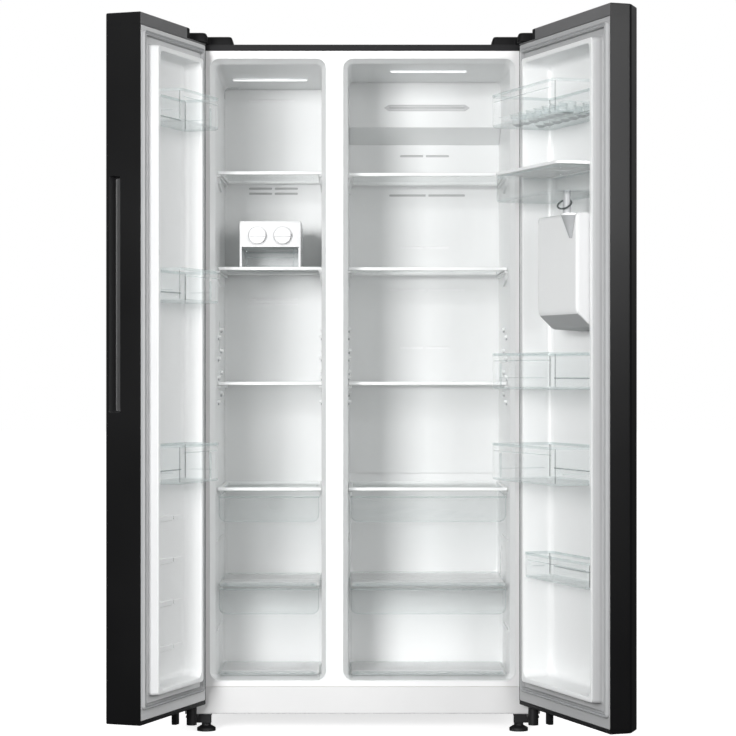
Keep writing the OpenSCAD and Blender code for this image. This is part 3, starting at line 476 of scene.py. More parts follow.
def make_front():
    shape = Shape()
    shape.block((-HALF_W, HALF_W), (0, FRAME_T), (FRAME_LOW + 0.2, FRAME_HIGH - 0.2), WHITE, 0)
    flange = shape.done("front_flange", "cabinet", ["front_frame"])
    carve(flange, [cutter(rounded(mouth, (FLOOR_Z, CEILING_Z), 25, 10), (-10, 10), "y")
                   for mouth in MOUTHS.values()], 1.1)
    shape = Shape()
    strip = fillet([(0, FRAME_HIGH), (FRAME_T, FRAME_HIGH), (FRAME_T, CAB_TOP), (0.3, CAB_TOP)],
                   [0.4, 0.2, 0.2, 0.8])
    shape.prism(strip, (-HALF_W, HALF_W), "x", TRIM)
    shape.done("top_strip", "cabinet", ["top_trim"])
    shape = Shape()
    high = FRAME_LOW - 0.2
    rail = fillet([(0.6, high), (FRAME_T, high), (FRAME_T, CAB_BOTTOM), (1.2, CAB_BOTTOM),
                   (0, CAB_BOTTOM + 3)], [0.5, 0.2, 0.2, 0.5, 0.8])
    shape.prism(rail, (-HALF_W, HALF_W), "x", RAIL)
    shape.done("kick_rail", "cabinet", ["bottom_rail"])


def make_hinge_covers():
    for name, place in (("left", None), ("right", MIRROR)):
        shape = Shape(place)

        def plan(g):
            side, step, end = -HALF_W + g, -394 - g, -333 - g
            return fillet([(side, -60 + g), (step, -60 + g), (step, 12 + g), (end, 12 + g), (end, 100 - g),
                           (side, 100 - g)], [14, 14, 5, 8, 8, 6])

        rings = [(plan(g), CAB_TOP + rise) for g, rise in ((0, 0), (0, 2), (1.5, 14), (3.2, 20), (5.5, 22))]
        shape.loft(rings, "z", COVER)
        shape.screw((-424, 60), 5, CAB_TOP + 21.2, "z", 0.3, TRIM)
        shape.done("hinge_cover_" + name, "cabinet", ["hinge_covers"])


def liner_rings(which, g):
    """Rounded sections of a compartment from its mouth to its back wall, grown by g."""
    mouth, inside, roof = MOUTHS[which], INSIDES[which], ROOFS[which]
    rings = []

    def ring(y, x, z, r):
        behind = g if y > 25 else 0
        rings.append((rounded(grow(x, g), grow(z, g), r + g), y + behind))

    def top(y):
        return roof[0] + (roof[1] - roof[0]) * (y - 30) / (INNER_D - 30)

    for y, inset in ((-0.15, -1.5), (-0.2, -0.4), (0.3, 0.3), (1.6, 0.8), (6, 1.2), (16, 5.5), (26, 9.8)):
        low = min(inset, 0.6)
        drop = (CEILING_Z - roof[0]) * max(inset, 0) / 12 if inset > 0 else inset
        ring(y, grow(mouth, -inset), (FLOOR_Z + low, CEILING_Z - drop), 25 - max(inset, 0))
    for y, out in ((30, 0.9), (35, 0)):
        ring(y, grow(inside, out), (FLOOR_Z + 0.6, top(30) + out), 13)
    for y in (120, 220, 318):
        ring(y, inside, (FLOOR_Z + 0.6, top(y)), 12.5)
    for y, z in ((324, FLOOR_Z + 0.6), (328, FLOOR_Z + 2), (HUMP_Y, FLOOR_Z + 8), (HUMP_Y, HUMP_Z - 4),
                 (HUMP_Y + 1.2, HUMP_Z - 1.2), (HUMP_Y + 4, HUMP_Z)):
        ring(y, inside, (z, top(y)), 12.5)
    for y, shrink in ((INNER_D - 12, 0), (INNER_D - 4, 1.5), (INNER_D - 1, 4.5), (INNER_D, 9)):
        ring(y, grow(inside, -shrink), grow((HUMP_Z, top(y)), -shrink), 12.5)
    return rings


def make_liner(which):
    """A compartment's inner box, with the rails, pegs, rows of small bumps with a grey patch under each as
    painted shadow, and tracks on its side walls.
    """
    shape = Shape()
    inner, outer = liner_rings(which, 0), liner_rings(which, 1.8)
    shape.loft(outer[::-1] + inner, "y", LINER)
    inside = INSIDES[which]
    for sign, wall in ((1, inside[0]), (-1, inside[1])):
        def reach(depth):
            return sorted((wall - sign * 1.5, wall + sign * depth))
        for z in SHELVES[which] + (COVER_Z,):
            rail = fillet([(110, z - 1), (432, z - 1), (436, z - 4), (432, z - 8), (116, z - 8),
                           (112, z - 5)], [1, 1, 2, 2, 2, 1], 3)
            shape.prism(rail, reach(8), "x", LINER, 0.8)
        for z in SHELVES[which][:2]:
            peg = fillet([(112, z - 9), (160, z - 9), (236, z - 32), (232, z - 38), (130, z - 24)],
                         [2, 2, 4, 3, 6], 4)
            shape.prism(peg, reach(5), "x", LINER, 1.2)
        # Small bumps in two rows, each with a grey patch just under it: painted shadow
        for y, heights in ((128, (1013, 957, 907, 843)), (236, (1035, 978, 921, 864))):
            for z in heights:
                shape.prism(rounded((y, y + 26), (z - 2, z + 7), 4, 4), reach(8), "x", LINER, 2, 3)
                shape.prism(rounded((y + 2, y + 24), (z - 7, z - 1), 2.5, 4), reach(4.5), "x", TAP, 1, 2)
        for z in (480, 248):
            track = fillet([(80, z), (312, z), (316, z + 5), (80, z + 5)], [1, 2, 2, 1], 3)
            shape.prism(track, reach(2.5), "x", LINER, 0.8)
    shape.done(which + "_inner", "cabinet", [which + "_liner"])


def make_air_trims():
    """Thin beads round the air panel and the duct's front, and grey plates behind their slots as painted
    shade.
    """
    shape = Shape()
    for x, z, y in ((INSIDES["freezer"], (HUMP_Z + 0.3, 1701.0), AIR_PANEL_Y),
                    (INSIDES["fridge"], (1592.6, 1715.7), DUCT_Y)):
        rings = [(rounded(grow(x, -0.2 - g), grow(z, -g), 12.2 - g, 8), y + 0.4 + back) for g, back in
                 ((0, 0), (0, -0.9), (0.5, -1.3), (1.6, -1.2), (3.4, -0.5), (3.6, 0))]
        shape.loft(rings, "y", PANEL_WHITE, ring_closed=True)
    freezer_x, narrow_x, wide_x = (-316, -175), (101, 243), (71, 287)
    # A plate behind each slot: painted shade, darker or lighter slot by slot
    for x, z, material in (((-318, -183), 1670, SLOT_SHADE_LIGHT), (freezer_x, 1414, SLOT_SHADE),
                           (freezer_x, 1428, SLOT_SHADE), (freezer_x, 1110, SLOT_SHADE_LIGHT),
                           (freezer_x, 1124, SLOT_SHADE_LIGHT)):
        shape.block(x, (AIR_PANEL_Y + 3.1, AIR_PANEL_Y + 3.9), (z - 6.5, z + 6.5), material, 0.2, 1)
    for x, z, material in ((narrow_x, 1521, SLOT_SHADE), (wide_x, 1412, SLOT_SHADE), (narrow_x, 1268, SLOT_SHADE_LIGHT),
                           (wide_x, 1150, SLOT_SHADE_LIGHT), (narrow_x, 990, SLOT_SHADE_LIGHT)):
        middle = (x[0] + x[1]) / 2
        shape.block(x, (LOW_DUCT_Y + 2.6, LOW_DUCT_Y + 3.4), (z - 8, z + 8), material, 0.2, 1)
        shape.block((middle - 4, middle + 4), (LOW_DUCT_Y - 0.2, LOW_DUCT_Y + 3), (z - 6, z + 6),
                    PANEL_WHITE, 0.2, 1)
    shape.block((67, 286), (DUCT_Y + 3.2, DUCT_Y + 4), (1638, 1654), SLOT_SHADE, 0.2, 1)
    shape.done("air_trims", "cabinet", [])


def make_duct_bezel():
    """A bezel with pointed ends round the duct's upper slot."""
    shape = Shape()

    def lozenge(g):
        return fillet([(58 + 2 * g, 1646), (72 + g, 1637 + g), (281 - g, 1637 + g), (295 - 2 * g, 1646),
                       (281 - g, 1655 - g), (72 + g, 1655 - g)], [2] * 6, 4)

    rings = [(lozenge(g), DUCT_Y + out) for g, out in
             ((5.9, 1), (0, 0.4), (0.3, -1.2), (1.2, -1.8), (2.2, -1.6), (5.6, 0.2))]
    shape.loft(rings, "y", BEZEL, ring_closed=True)
    shape.done("duct_bezel", "cabinet", [])


def make_lamps():
    """The two lamp covers, each with a white base."""
    shape = Shape()
    for x, y, lens_z, base_z in (((-346, -149), (257, 265), (1701.2, 1706), (1703.2, 1706.8)),
                                 ((75, 273), (162, 170), (1711.7, 1715.6), (1713.4, 1715.9))):
        shape.prism(rounded(x, y, 3.9), lens_z, "z", LAMP, 1.5, 3)
        shape.prism(rounded(grow(x, 2), grow(y, 3), 6.5), base_z, "z", PANEL_WHITE, 1, 3)
    shape.done("lamp_covers", "cabinet", ["lamp_lenses"])


# ---- Shelves, drawers and ice maker ----

def make_shelf(name, body, node, which, depth, z):
    """A glass pane in a white frame. depth is where it starts and ends, z its underside."""
    x, top = grow(INSIDES[which], -1.6), z + SHELF_H
    start, end = depth
    shape = Shape()
    front = fillet([(start, z + 0.2), (start + 12, z + 0.2), (start + 12, z + 3.4), (start + 9, z + 3.6),
                    (start + 9, top), (start + 1, top)], [3, 1, 0.5, 0.5, 0.6, 3.5], 5)
    shape.prism(front, x, "x", SHELF_WHITE, 0.7)
    back = fillet([(end - 12, z + 3), (end - 9, z + 0.4), (end, z + 0.4), (end, top), (end - 12, top)],
                  [1, 1, 2, 2, 1], 4)
    shape.prism(back, x, "x", SHELF_WHITE, 0.7)
    for side in ((x[0], x[0] + 10), (x[1] - 10, x[1])):
        shape.block(side, (start + 9.1, end - 10), (z + 0.3, top - 0.4), SHELF_WHITE, 0.9)
    pane = corners(grow(x, -8), (start + 9.2, end - 11))
    shape.loft([(pane, top - 5), (pane, top - 4.6), (pane, top - 1.4), (pane, top - 1)], "z", GLASS,
               {1: GLASS_EDGE})
    shape.done(name, body, [node])


def vessel(shape, outline, z, wall, floor, foot, lip, body, edge, lip_h, base=None):
    """An open box. outline(g) is its plan shrunk by g, and foot the size of its lower bevel.

    The bands along its foot and its lip take the edge material, and base is for the floor alone.
    """
    rings, bands = [], {}

    def ring(g, height, banded=False):
        if banded:
            bands[len(rings)] = edge
        rings.append((outline(g), height))

    if base:
        bands[0] = base
        ring(foot + 1, z[0])
    ring(foot, z[0], True)
    ring(foot * 0.3, z[0] + foot * 0.3, True)
    ring(0.4, z[0] + foot)
    ring(0.4, z[1] - lip_h - 1)
    ring(0, z[1] - lip_h, True)
    ring(0, z[1] - 0.6, True)
    ring(0.6, z[1], True)
    ring(lip - 0.6, z[1], True)
    ring(lip, z[1] - 0.6, True)
    ring(lip, z[1] - lip_h, True)
    ring(wall, z[1] - lip_h - 1)
    ring(wall, z[0] + floor + foot)
    ring(wall + foot * 0.3, z[0] + floor + foot * 0.3)
    ring(wall + foot, z[0] + floor)
    if base:
        bands[len(rings) - 2] = base
    shape.loft(rings, "z", body, bands)


def make_drawer(which, index):
    z = ((366, 600), (136, 361))[index]
    back = 322 if index else (430, 468)[which == "fridge"]
    x = grow(INSIDES[which], -4.2)
    shape = Shape()

    def plan(g):
        return rounded(grow(x, -g), (70 + g, back - g), 10 - min(g, 6))

    vessel(shape, plan, z, 2.6, 2.6, 5, 3.4, DRAWER, DRAWER_EDGE, 4, DRAWER_FLOOR)

    def band(inset, down, up, small, large):
        left, right, low, high = x[0] + inset, x[1] - inset, z[1] - 66 + up, z[1] - 0.4 - down
        outline = [(left, high), (left, low), (right, low), (right, high)]
        return fillet(outline, [small, large, large, small], 8)

    # The grip band across the top of the front, with its rounded lower corners
    face, inner = band(2.4, 0, 0, 3, 22), band(5, 2, 3, 2, 20)
    shape.loft([(face, 69.7), (face, 65), (face, 63), (inner, 62.1), (inner, 62.6), (inner, 69.7)], "y",
               DRAWER_BAND, {step: DRAWER_EDGE for step in range(3)})
    low = fillet([(69.9, z[0] + 1), (66, z[0] + 1), (66, z[0] + 12), (69.9, z[0] + 12)], [1, 2, 2, 1], 4)
    shape.prism(low, grow(x, -8), "x", DRAWER_EDGE, 0.6)
    for stud in grow(x, -20):
        shape.rod((stud, z[0] + 6.5), 4, (64.6, 67), "y", DRAWER_EDGE, 0.8, 20)
    name = "%s_drawer_%d" % (which, index + 1)
    shape.done("%s_drawer_box_%d" % (which, index + 1), name, [name])


def make_ice_maker():
    """The ice maker's housing, open below, with a collar round each of its two knobs."""
    shape = Shape()
    front, back = ICE_Y
    under_top = ICE_TOP - 2.6
    shape.prism(rounded(ICE_X, ICE_Y, 6), (ICE_TOP - 3.2, ICE_TOP), "z", ICE, 1.2, 3)
    shape.block(ICE_X, (front, front + 3), (1250, under_top), ICE, 1.0, 3)
    for side, inward in zip(ICE_X, (3, -3)):
        wall, post = sorted((side, side + inward)), sorted((side, side + inward * 2))
        shape.block(wall, (front + 1, back - 0.5), (ICE_LOW, under_top), ICE, 0.9, 3)
        shape.block(post, (front + 0.2, front + 9), (ICE_LOW, 1252), ICE, 0.9, 3)
    shape.block(grow(ICE_X, -2), (back - 3, back), (ICE_LOW, under_top), ICE, 0.9, 3)
    for x in KNOB_X.values():
        collar = [(26, front - 0.1), (26, front - 1.2), (25, front - 1.8), (24, front - 1.4),
                  (23.4, front + 0.2)]
        shape.lathe((x, KNOB_Z), collar, "y", ICE, 40)
    shape.done("ice_maker_shell", "freezer_shelf_2", ["ice_maker_housing"])


def make_knob_face(side):
    """The raised lower half of an ice knob, and its grip."""
    x, z, r = KNOB_X[side], KNOB_Z - 1, 20.5
    shape = Shape()
    curve = arc((x, z), r, 180, 180, 14)[1:-1]
    half = fillet([(x - r, z)] + curve + [(x + r, z)], [2] + [0] * len(curve) + [2], 3)
    shape.prism(half, (116.5, 122.4), "y", KNOB, 1.6, 3)
    shape.prism(rounded((x - 21, x + 21), (1277, 1282.5), 2.7), (111.5, 123), "y", KNOB, 1.2, 3)
    shape.done("ice_knob_face_" + side, side + "_knob", [])


def make_ice_box():
    shape = Shape()

    def plan(g):
        return rounded((-315 + g, -169 - g), (132 + g, 324 - g), 6 - min(g, 4))

    vessel(shape, plan, (1198.6, 1247.6), 2, 2, 4, 3, CLEAR, CLEAR_EDGE, 4)
    # An H-shaped rib on its front
    bars = (-304, -180)
    for x in bars:
        shape.block((x - 1.5, x + 1.5), (129.6, 132.6), (1200, 1246), CLEAR_EDGE, 0.6)
    shape.block(bars, (129.8, 132.6), (1221, 1223.4), CLEAR_EDGE, 0.6)
    shape.done("ice_drawer", "ice_box", ["ice_box"])


# ---- Doors ----

def door_plan(which, g, r=4, closed=True):
    """A door's plan shrunk by g, from its hinge edge round its outer face to its free edge.

    The closed plan also goes back along the liner's side; the open one stops there.
    """
    w, slope = DOOR_W[which], SLOPE[which]
    back, end = (-g, 1) if closed else (0, 0)
    turn = r * 3 if which == "fridge" else r * 0.3
    plan = [(g, back), (g, -DOOR_T + g), (w - slope[0] - g / 2, -DOOR_T + g),
            (w - g, -DOOR_T + slope[1] + g / 2), (w - g, back)]
    return fillet(plan, [end, r, turn, turn, end], 5, closed)


def make_door(which):
    make_door_skin(which)
    make_door_caps(which)
    make_door_liner(which)
    make_liner_details(which)
    make_door_foam(which)
    make_gasket(which)


def make_door_skin(which):
    """The folded steel skin, cut out for the freezer's finger pocket or the fridge's niche."""
    place, w = door_place(which), DOOR_W[which]
    shape = Shape(place)
    skin = door_plan(which, 0, 4, False) + door_plan(which, 1.2, 3, False)[::-1]
    shape.prism(skin, (CORE_LOW + 0.1, CORE_TOP), "z", BLACK)
    panel = shape.done(which + "_skin", which + "_door", [which + "_door_panel"], 40)
    if which == "freezer":
        opening = cutter(rounded(POCKET_Y, POCKET_Z, 5), (w - 20, w + 5), "x", place)
    else:
        opening = cutter(rounded(NICHE_X, NICHE_Z, 8), (-DOOR_T - 7, -DOOR_T + 13), "y", place)
    carve(panel, [opening])


def make_door_caps(which):
    """The upper and lower caps with the pin blocks, and the freezer's finger pocket."""
    w, start = DOOR_W[which], CAP_START[which]
    shape = Shape(door_place(which))

    def black_part(g):
        low, high, outer = start + g, start + 22, -DOOR_T + g
        return fillet([(low, -g), (low, outer), (high, outer), (high, -g)], [9, 9, 0.4, 0.4], 6)

    def grey_part(g):
        low, high = start + 22.5 + g, w - g * 0.3
        return [(max(low, min(high, u)), v) for u, v in door_plan(which, g)]

    for plan, material in ((black_part, COVER), (grey_part, CAP)):
        rings = [(plan(g), z) for g, z in
                 ((0, CORE_TOP + 2.2), (0, DOOR_TOP - 3), (0.8, DOOR_TOP - 1), (2.8, DOOR_TOP))]
        shape.loft(rings, "z", material)
    shape.loft([(door_plan(which, g), CORE_TOP + rise) for g, rise in
                ((0.2, -0.1), (0, 0.1), (0, 2.4), (0.5, 3))], "z", CAP)
    shape.loft([(door_plan(which, g), z) for g, z in
                ((2.0, DOOR_LOW), (0.6, DOOR_LOW + 0.8), (0.1, DOOR_LOW + 2.5), (0.1, CORE_LOW - 0.4),
                 (0.5, CORE_LOW))], "z", CAP_LOW)
    # The free edge is black up to the top
    black = shape.slot_of(BLACK)
    for face in shape.mesh.faces:
        if face.normal.x > 0.6 and face.calc_center_median().x > w - 50:
            face.material_index = black
    shape.block((72, 92), (-54, -40), (DOOR_LOW - 42, DOOR_LOW + 1), CAP_LOW, 2.5, 3)
    shape.block((8, 50), (-62, -16), (CORE_TOP - 18, CORE_TOP + 1), CAP, 1.0)
    shape.block((8, 50), (-62, -16), (CORE_LOW - 1, CORE_LOW + 18), CAP_LOW, 1.0)
    if which == "freezer":
        # The finger pocket: a rounded tray let into the free edge
        rings = [(rounded(grow(POCKET_Y, g), grow(POCKET_Z, g), r), w - back) for g, back, r in
                 ((2, 32, 5), (2, 3, 6), (2, 1.3, 6), (0, 0.6, 5), (-0.4, 1.2, 5), (-1.2, 26, 5),
                  (-4, 31, 4), (-7, 31.6, 4))]
        shape.loft(rings, "x", POCKET)
    shape.done(which + "_caps", which + "_door", [which + "_door_trims"])


def make_gasket(which):
    """A ring with two soft lips and a groove between them."""
    shape = Shape(door_place(which))
    x, z = (22, DOOR_W[which] - 4), (112, 1743)
    rings = []
    for inset, y, r in ((0.4, 0.1, 10), (0, 3, 10), (0.2, 6.5, 10), (1.5, 9.2, 9), (3.2, 9.4, 8),
                        (4.6, 7.2, 8), (6.0, 6.6, 7), (7.4, 7.2, 7), (9.2, 9.2, 6), (11.6, 8.4, 5),
                        (12.8, 5, 5), (13, 0.1, 5)):
        rings.append((rounded(grow(x, -inset), grow(z, -inset), r, 8), y))
    shape.loft(rings, "y", GASKET, {step: TAP for step in (4, 5, 6)}, ring_closed=True)
    shape.done(which + "_seal", which + "_door", [which + "_door_gasket"])


def make_door_liner(which):
    """The flat edge under the gasket, the raised rim inside it and the recess with the bins."""
    w, depth = DOOR_W[which], RECESS[which]
    place = door_place(which)
    shape = Shape(place)

    def edge(g, y, r):
        return (rounded((1.6 + g, w - 1.6 - g), (86 + g, 1755 - g), r, 8), y)

    def dyke(g, y):
        return (rounded((72 + g, w - 38 - g), grow(DYKE_Z, -g), 9 - g * 0.3, 8), y)

    def room(g, y):
        return (rounded(grow(room_x(which), -g), grow(DYKE_Z, -16 - g), 17 - g * 0.4, 8), y)

    rings = [room(6, -depth - 1.9), room(0.5, -depth - 1.9), room(-1.9, -depth + 3), room(-1.9, -2.2),
             dyke(3, -2), edge(1, -2, 4), edge(1, -13.8, 4), edge(0, -13.8, 4), edge(0, -1.4, 4),
             edge(0.5, -0.4, 4), edge(1.6, 0, 4), dyke(-4, 0), dyke(-1.6, 0.5), dyke(-0.3, 2.2), dyke(0.3, 6),
             dyke(1.6, DYKE_H - 4), dyke(2.6, DYKE_H - 1.2), dyke(4.6, DYKE_H), dyke(11, DYKE_H),
             room(-2.2, DYKE_H - 1.2), room(-1.0, DYKE_H - 4), room(0, 8), room(0.3, -depth + 18),
             room(1.6, -depth + 11), room(5.0, -depth + 4.6), room(11, -depth + 1.2), room(18, -depth)]
    # The flat edge and the rim's outer side take a greyer material, darker on the fridge door: painted shade
    # on faces that turn from the light
    shape.loft(rings, "y", LINER, {step: SHADED_SIDES[which] for step in range(8, 16)})
    inner = shape.done(which + "_door_inner", which + "_door", [which + "_door_liner"], 30)
    if which == "fridge":
        # The recess is open behind the bulge
        hole = rounded((BULGE_X[0] + 2.5, 465.5), (1025, 1297), 14)
        carve(inner, [cutter(hole, (-depth - 8, -depth + 4), "y", place)])


def make_liner_details(which):
    """What stands on a door's liner: a whiter strip along the rim's crest as a painted highlight, the bins'
    rails, and raised marks or the bulge.
    """
    w, depth, walls = DOOR_W[which], RECESS[which], room_x(which)
    shape = Shape(door_place(which))
    # The strip, a painted highlight on the rim's crest, runs along the rim's free side, down to the lowest
    # deep bin
    strip = fillet([(w - 42.5, DYKE_H - 2.5), (w - 42.5, DYKE_H - 0.1), (w - 53, DYKE_H - 0.1),
                    (w - 53, DYKE_H - 2.5)], [0.5, 1, 1, 0.5], 4)
    shape.prism(strip, (648, DYKE_Z[1] - 6), "z", SHELF_WHITE, 0.5)
    for low in [size[0] for size in BINS[which]]:
        for sign, wall in zip((1, -1), walls):
            rail = rounded((-depth + 14, DYKE_H - 10), (low - 14, low - 6), 3.5, 4)
            shape.prism(rail, sorted((wall - sign, wall + sign * 0.45)), "x", LINER, 0.3)
    if which == "freezer":
        for z in (560, 455, 350, 240):
            shape.prism(rounded((158, 244), (z - 7, z + 7), 6), (-depth - 1, -depth + 5), "y", LINER, 2.4, 3)
            line = rounded((walls[0] + 4, 150), (z - 5, z + 5), 4)
            shape.prism(line, (-depth - 1, -depth + 2), "y", LINER, 1, 2)
    else:
        add_bulge(shape, depth)
    shape.done(which + "_liner_details", which + "_door", [], 30)


def add_bulge(shape, depth):
    """The shell behind the dispenser with its sloping underside: inner side first, then the outer side."""
    wall = 1.9

    def section(y, low, inset, g=0):
        outline = corners(grow(BULGE_X, -g - inset), (low, BULGE_TOP - g - inset))
        return (fillet(outline, [18, 6, 6, 10], 8), y)

    rings = [section(y, low, inset, wall) for y, low, inset in
             ((57.9, 1077, 13), (56.8, 1068, 7), (50.4, 1056.8, 1.2), (44.4, 1050.8, 0.4), (18, 1028, 0.4),
              (-depth - 1.5, 1024.4, 0.4))]
    rings += [section(y, low, inset) for y, low, inset in
              ((-depth - 1.5, 1022.2, 0.4), (19, 1026.2, 0.4), (24, 1028.8, 0.4), (31, 1035.2, 0.4),
               (46, 1048.9, 0.4), (52, 1054.4, 1.2), (56, 1059.4, 3.2), (58.6, 1066, 7), (59.8, 1075, 13))]
    # Faces that look down take the darker grey and faces that look sideways the lighter one: painted shade
    side, under = shape.slot_of(BULGE_SIDE_SHADE), shape.slot_of(BULGE_UNDERSIDE_SHADE)
    for face in shape.loft(rings, "y", LINER):
        if face.normal.z < -0.45:
            face.material_index = under
        elif face.normal.x > 0.6:
            face.material_index = side


def make_door_foam(which):
    """The insulation, shaped like the liner and kept 2.5 mm under it, with room for niche or pocket."""
    w, depth, slope = DOOR_W[which], RECESS[which], SLOPE[which]
    place = door_place(which)
    shape = Shape(place)

    def section(left, right, end, r, y):
        """Kept off the door's two edges by left and right, and off the core's two ends by end."""
        return (rounded((left, w - right), (CORE_LOW + end, CORE_TOP - end), r, 6), y)

    rings = [section(3, slope[0] + 3, 2, 4, -DOOR_T + 1.5), section(2, 2.5, 1.5, 4, -DOOR_T + slope[1] + 2),
             section(2, 2.5, 1.5, 4, -3)]
    # Up under the rim, and down again to the recess
    for g, r, y in ((-3, 22, -3), (-1.5, 21, DYKE_H - 6), (2, 18, DYKE_H - 4), (4, 17, DYKE_H - 4.4),
                    (7, 19, -depth + 2), (8, 17, -depth - 3.5), (18, 12, -depth - 3.6)):
        rings.append((rounded((78 + g, w - 44 - g), (148 + g, 1706 - g), r, 6), y))
    shape.loft(rings, "y", FOAM)
    foam = shape.done(which + "_foam_core", which + "_door", [which + "_door_foam"])
    if which == "freezer":
        pocket = rounded(grow(POCKET_Y, 3), grow(POCKET_Z, 3), 5)
        carve(foam, [cutter(pocket, (w - 35, w + 5), "x", place)])
        return
    niche, niche_y = rounded(grow(NICHE_X, 3.5), grow(NICHE_Z, 3.5), 8), (-DOOR_T - 7, 26)
    carve(foam, [cutter(niche, niche_y, "y", place)])
    shape = Shape(place)
    rings = []
    for low, y, inset, r in ((1030, -depth - 3, 0, 16), (1030, 18, 0, 16), (1053, 46, 0, 16),
                             (1067, 56, 10, 12)):
        outline = corners((244 + inset, 462 - inset), (low, 1294 - inset * 0.8))
        rings.append((fillet(outline, [r, 6, 6, 10], 6), y))
    shape.loft(rings, "y", FOAM)
    carve(shape.done("fridge_foam_bulge", "fridge_door", []), [cutter(niche, niche_y, "y", place)])


def bin_plan(which, out, g):
    """The plan of a bin or the tank, which reaches out to y = out, shrunk by g."""
    x, y = grow(grow(room_x(which), -0.8), -g), (-RECESS[which] + 0.8 + g, out - 0.2 - g)
    front, rear = max(2.0, min(BIN_TURN, out / 2) - g) * 1.3, max(3, 21 - g)
    return fillet(corners(x, y), [rear, rear, front, front], 9)


def make_bins(which):
    w, back = DOOR_W[which], -RECESS[which] + 3
    for number, (low, high, out, rib) in enumerate(BINS[which], 1):
        shape = Shape(door_place(which))

        def plan(g):
            return bin_plan(which, out, g)

        vessel(shape, plan, (low + 0.1, high - 0.1), 2.2, 2.4, 6, 3.2, CLEAR, CLEAR_EDGE, 6)
        # A moulded line along the back and the ends
        shape.block((110, w - 76), (back, back + 1.2), (low + 27, low + 29), CLEAR_EDGE, 0.4, 1)
        for x in (91.4, w - 57.4):
            shape.block((x, x + 0.9), (back + 18, out - 24), (low + 27, low + 29), CLEAR_EDGE, 0.3, 1)
        # Dark lines where the walls meet, painted shade at the clear corners: rear corner by the hinge, and
        # front corner by the free edge; the dark strip along the back is a painted shadow under the moulded
        # line
        turn = min(BIN_TURN, out / 2) * 0.3 + 2.4
        shape.rod((96, back + 6), 0.9, (low + 6, high - 5), "z", LINE, 0.3, 10)
        shape.rod((w - 54.8 - turn, out - turn), 0.8, (low + 6, high - 5), "z", LINE, 0.3, 10)
        shape.block((112, w - 78), (back + 0.8, back + 1.8), (low + 26, low + 27.6), LINE, 0.3, 1)
        # Label rail inside the front
        shape.block((110, w - 76), (out - 3.6, out - 2.2), (high - 20, high - 18), CLEAR_EDGE, 0.4, 1)
        if rib:
            upright = rounded((96, 104), (low + 6, high - 24), 4)
            shape.prism(upright, (out - 26, out - 23), "y", CLEAR_EDGE, 0.6)
        if which == "fridge" and number == 1:
            add_egg_tray(shape, low)
        name = "%s_bin_%d" % (which, number)
        shape.done("%s_bin_box_%d" % (which, number), name, [name])


def add_egg_tray(shape, low):
    """Two rows of cups moulded in one clear tray, which lies in the top bin."""
    cup = [(r, low + rise) for r, rise in
           ((6, 4), (15, 9), (20, 22), (22.5, 34), (21, 34.4), (18.5, 22), (13.5, 10.5), (4, 6))]
    for y in (-8, 54):
        for i in range(7):
            shape.lathe((116 + 48 * i, y), cup, "z", CLEAR, 20, {0: LINE, 3: LINE, 4: CLEAR_EDGE})


# ---- Water tank, tap and dispenser ----

def make_tank():
    """The tank, with an ear and a stub at each end that carry its lid."""
    shape = Shape(door_place("fridge"))

    def plan(g):
        return bin_plan("fridge", TANK_OUT, g)

    vessel(shape, plan, TANK_Z, 2.3, 2.4, 6, 3.2, SMOKE, CLEAR_EDGE, 5)
    y, z = LID_AXIS
    for x, inward in ((LID_X[0] - 2.8, 1), (LID_X[1] + 2.8, -1)):
        shape.block((x - 1.3, x + 1.3), (y - 4, y + 4), (z - 7, z + 2.8), CLEAR_EDGE, 0.6)
        shape.rod(LID_AXIS, 1.5, sorted((x, x + inward * 7.5)), "x", CLEAR_EDGE, 0.4, 16)
    shape.done("tank_box", "water_tank", ["water_tank"])


def make_tank_lid():
    shape = Shape(door_place("fridge"))
    axis_y, axis_z = LID_AXIS

    def plan(g):
        """The lid's plan shrunk by g: narrower along its hinge, where the tank's ears stand."""
        inner, outer = (LID_X[0] + 0.2 + g, LID_X[1] - 0.2 - g), (88.8 + g, 467.2 - g)
        back, notch, front = axis_y + g * 0.4, axis_y + 8 + g * 0.4, TANK_OUT - 0.2 - g
        return fillet([(inner[0], back), (inner[1], back), (inner[1], notch), (outer[1], notch),
                       (outer[1], front), (outer[0], front), (outer[0], notch), (inner[0], notch)],
                      [0.4, 0.4, 0.4, 1, 20, 20, 1, 0.4], 8)

    rings = [(plan(g), axis_z + rise) for g, rise in
             ((0.8, -3.9), (0.1, -3.1), (0, 1.4), (0.7, 3.2), (2.4, 3.9), (16, 3.9), (17.5, 3), (22, 2.6))]
    shape.loft(rings, "z", LID)
    shape.rod(LID_AXIS, 3.9, LID_X, "x", LID, 0.8, 24)
    shape.done("tank_cover", "tank_lid", ["tank_lid"])


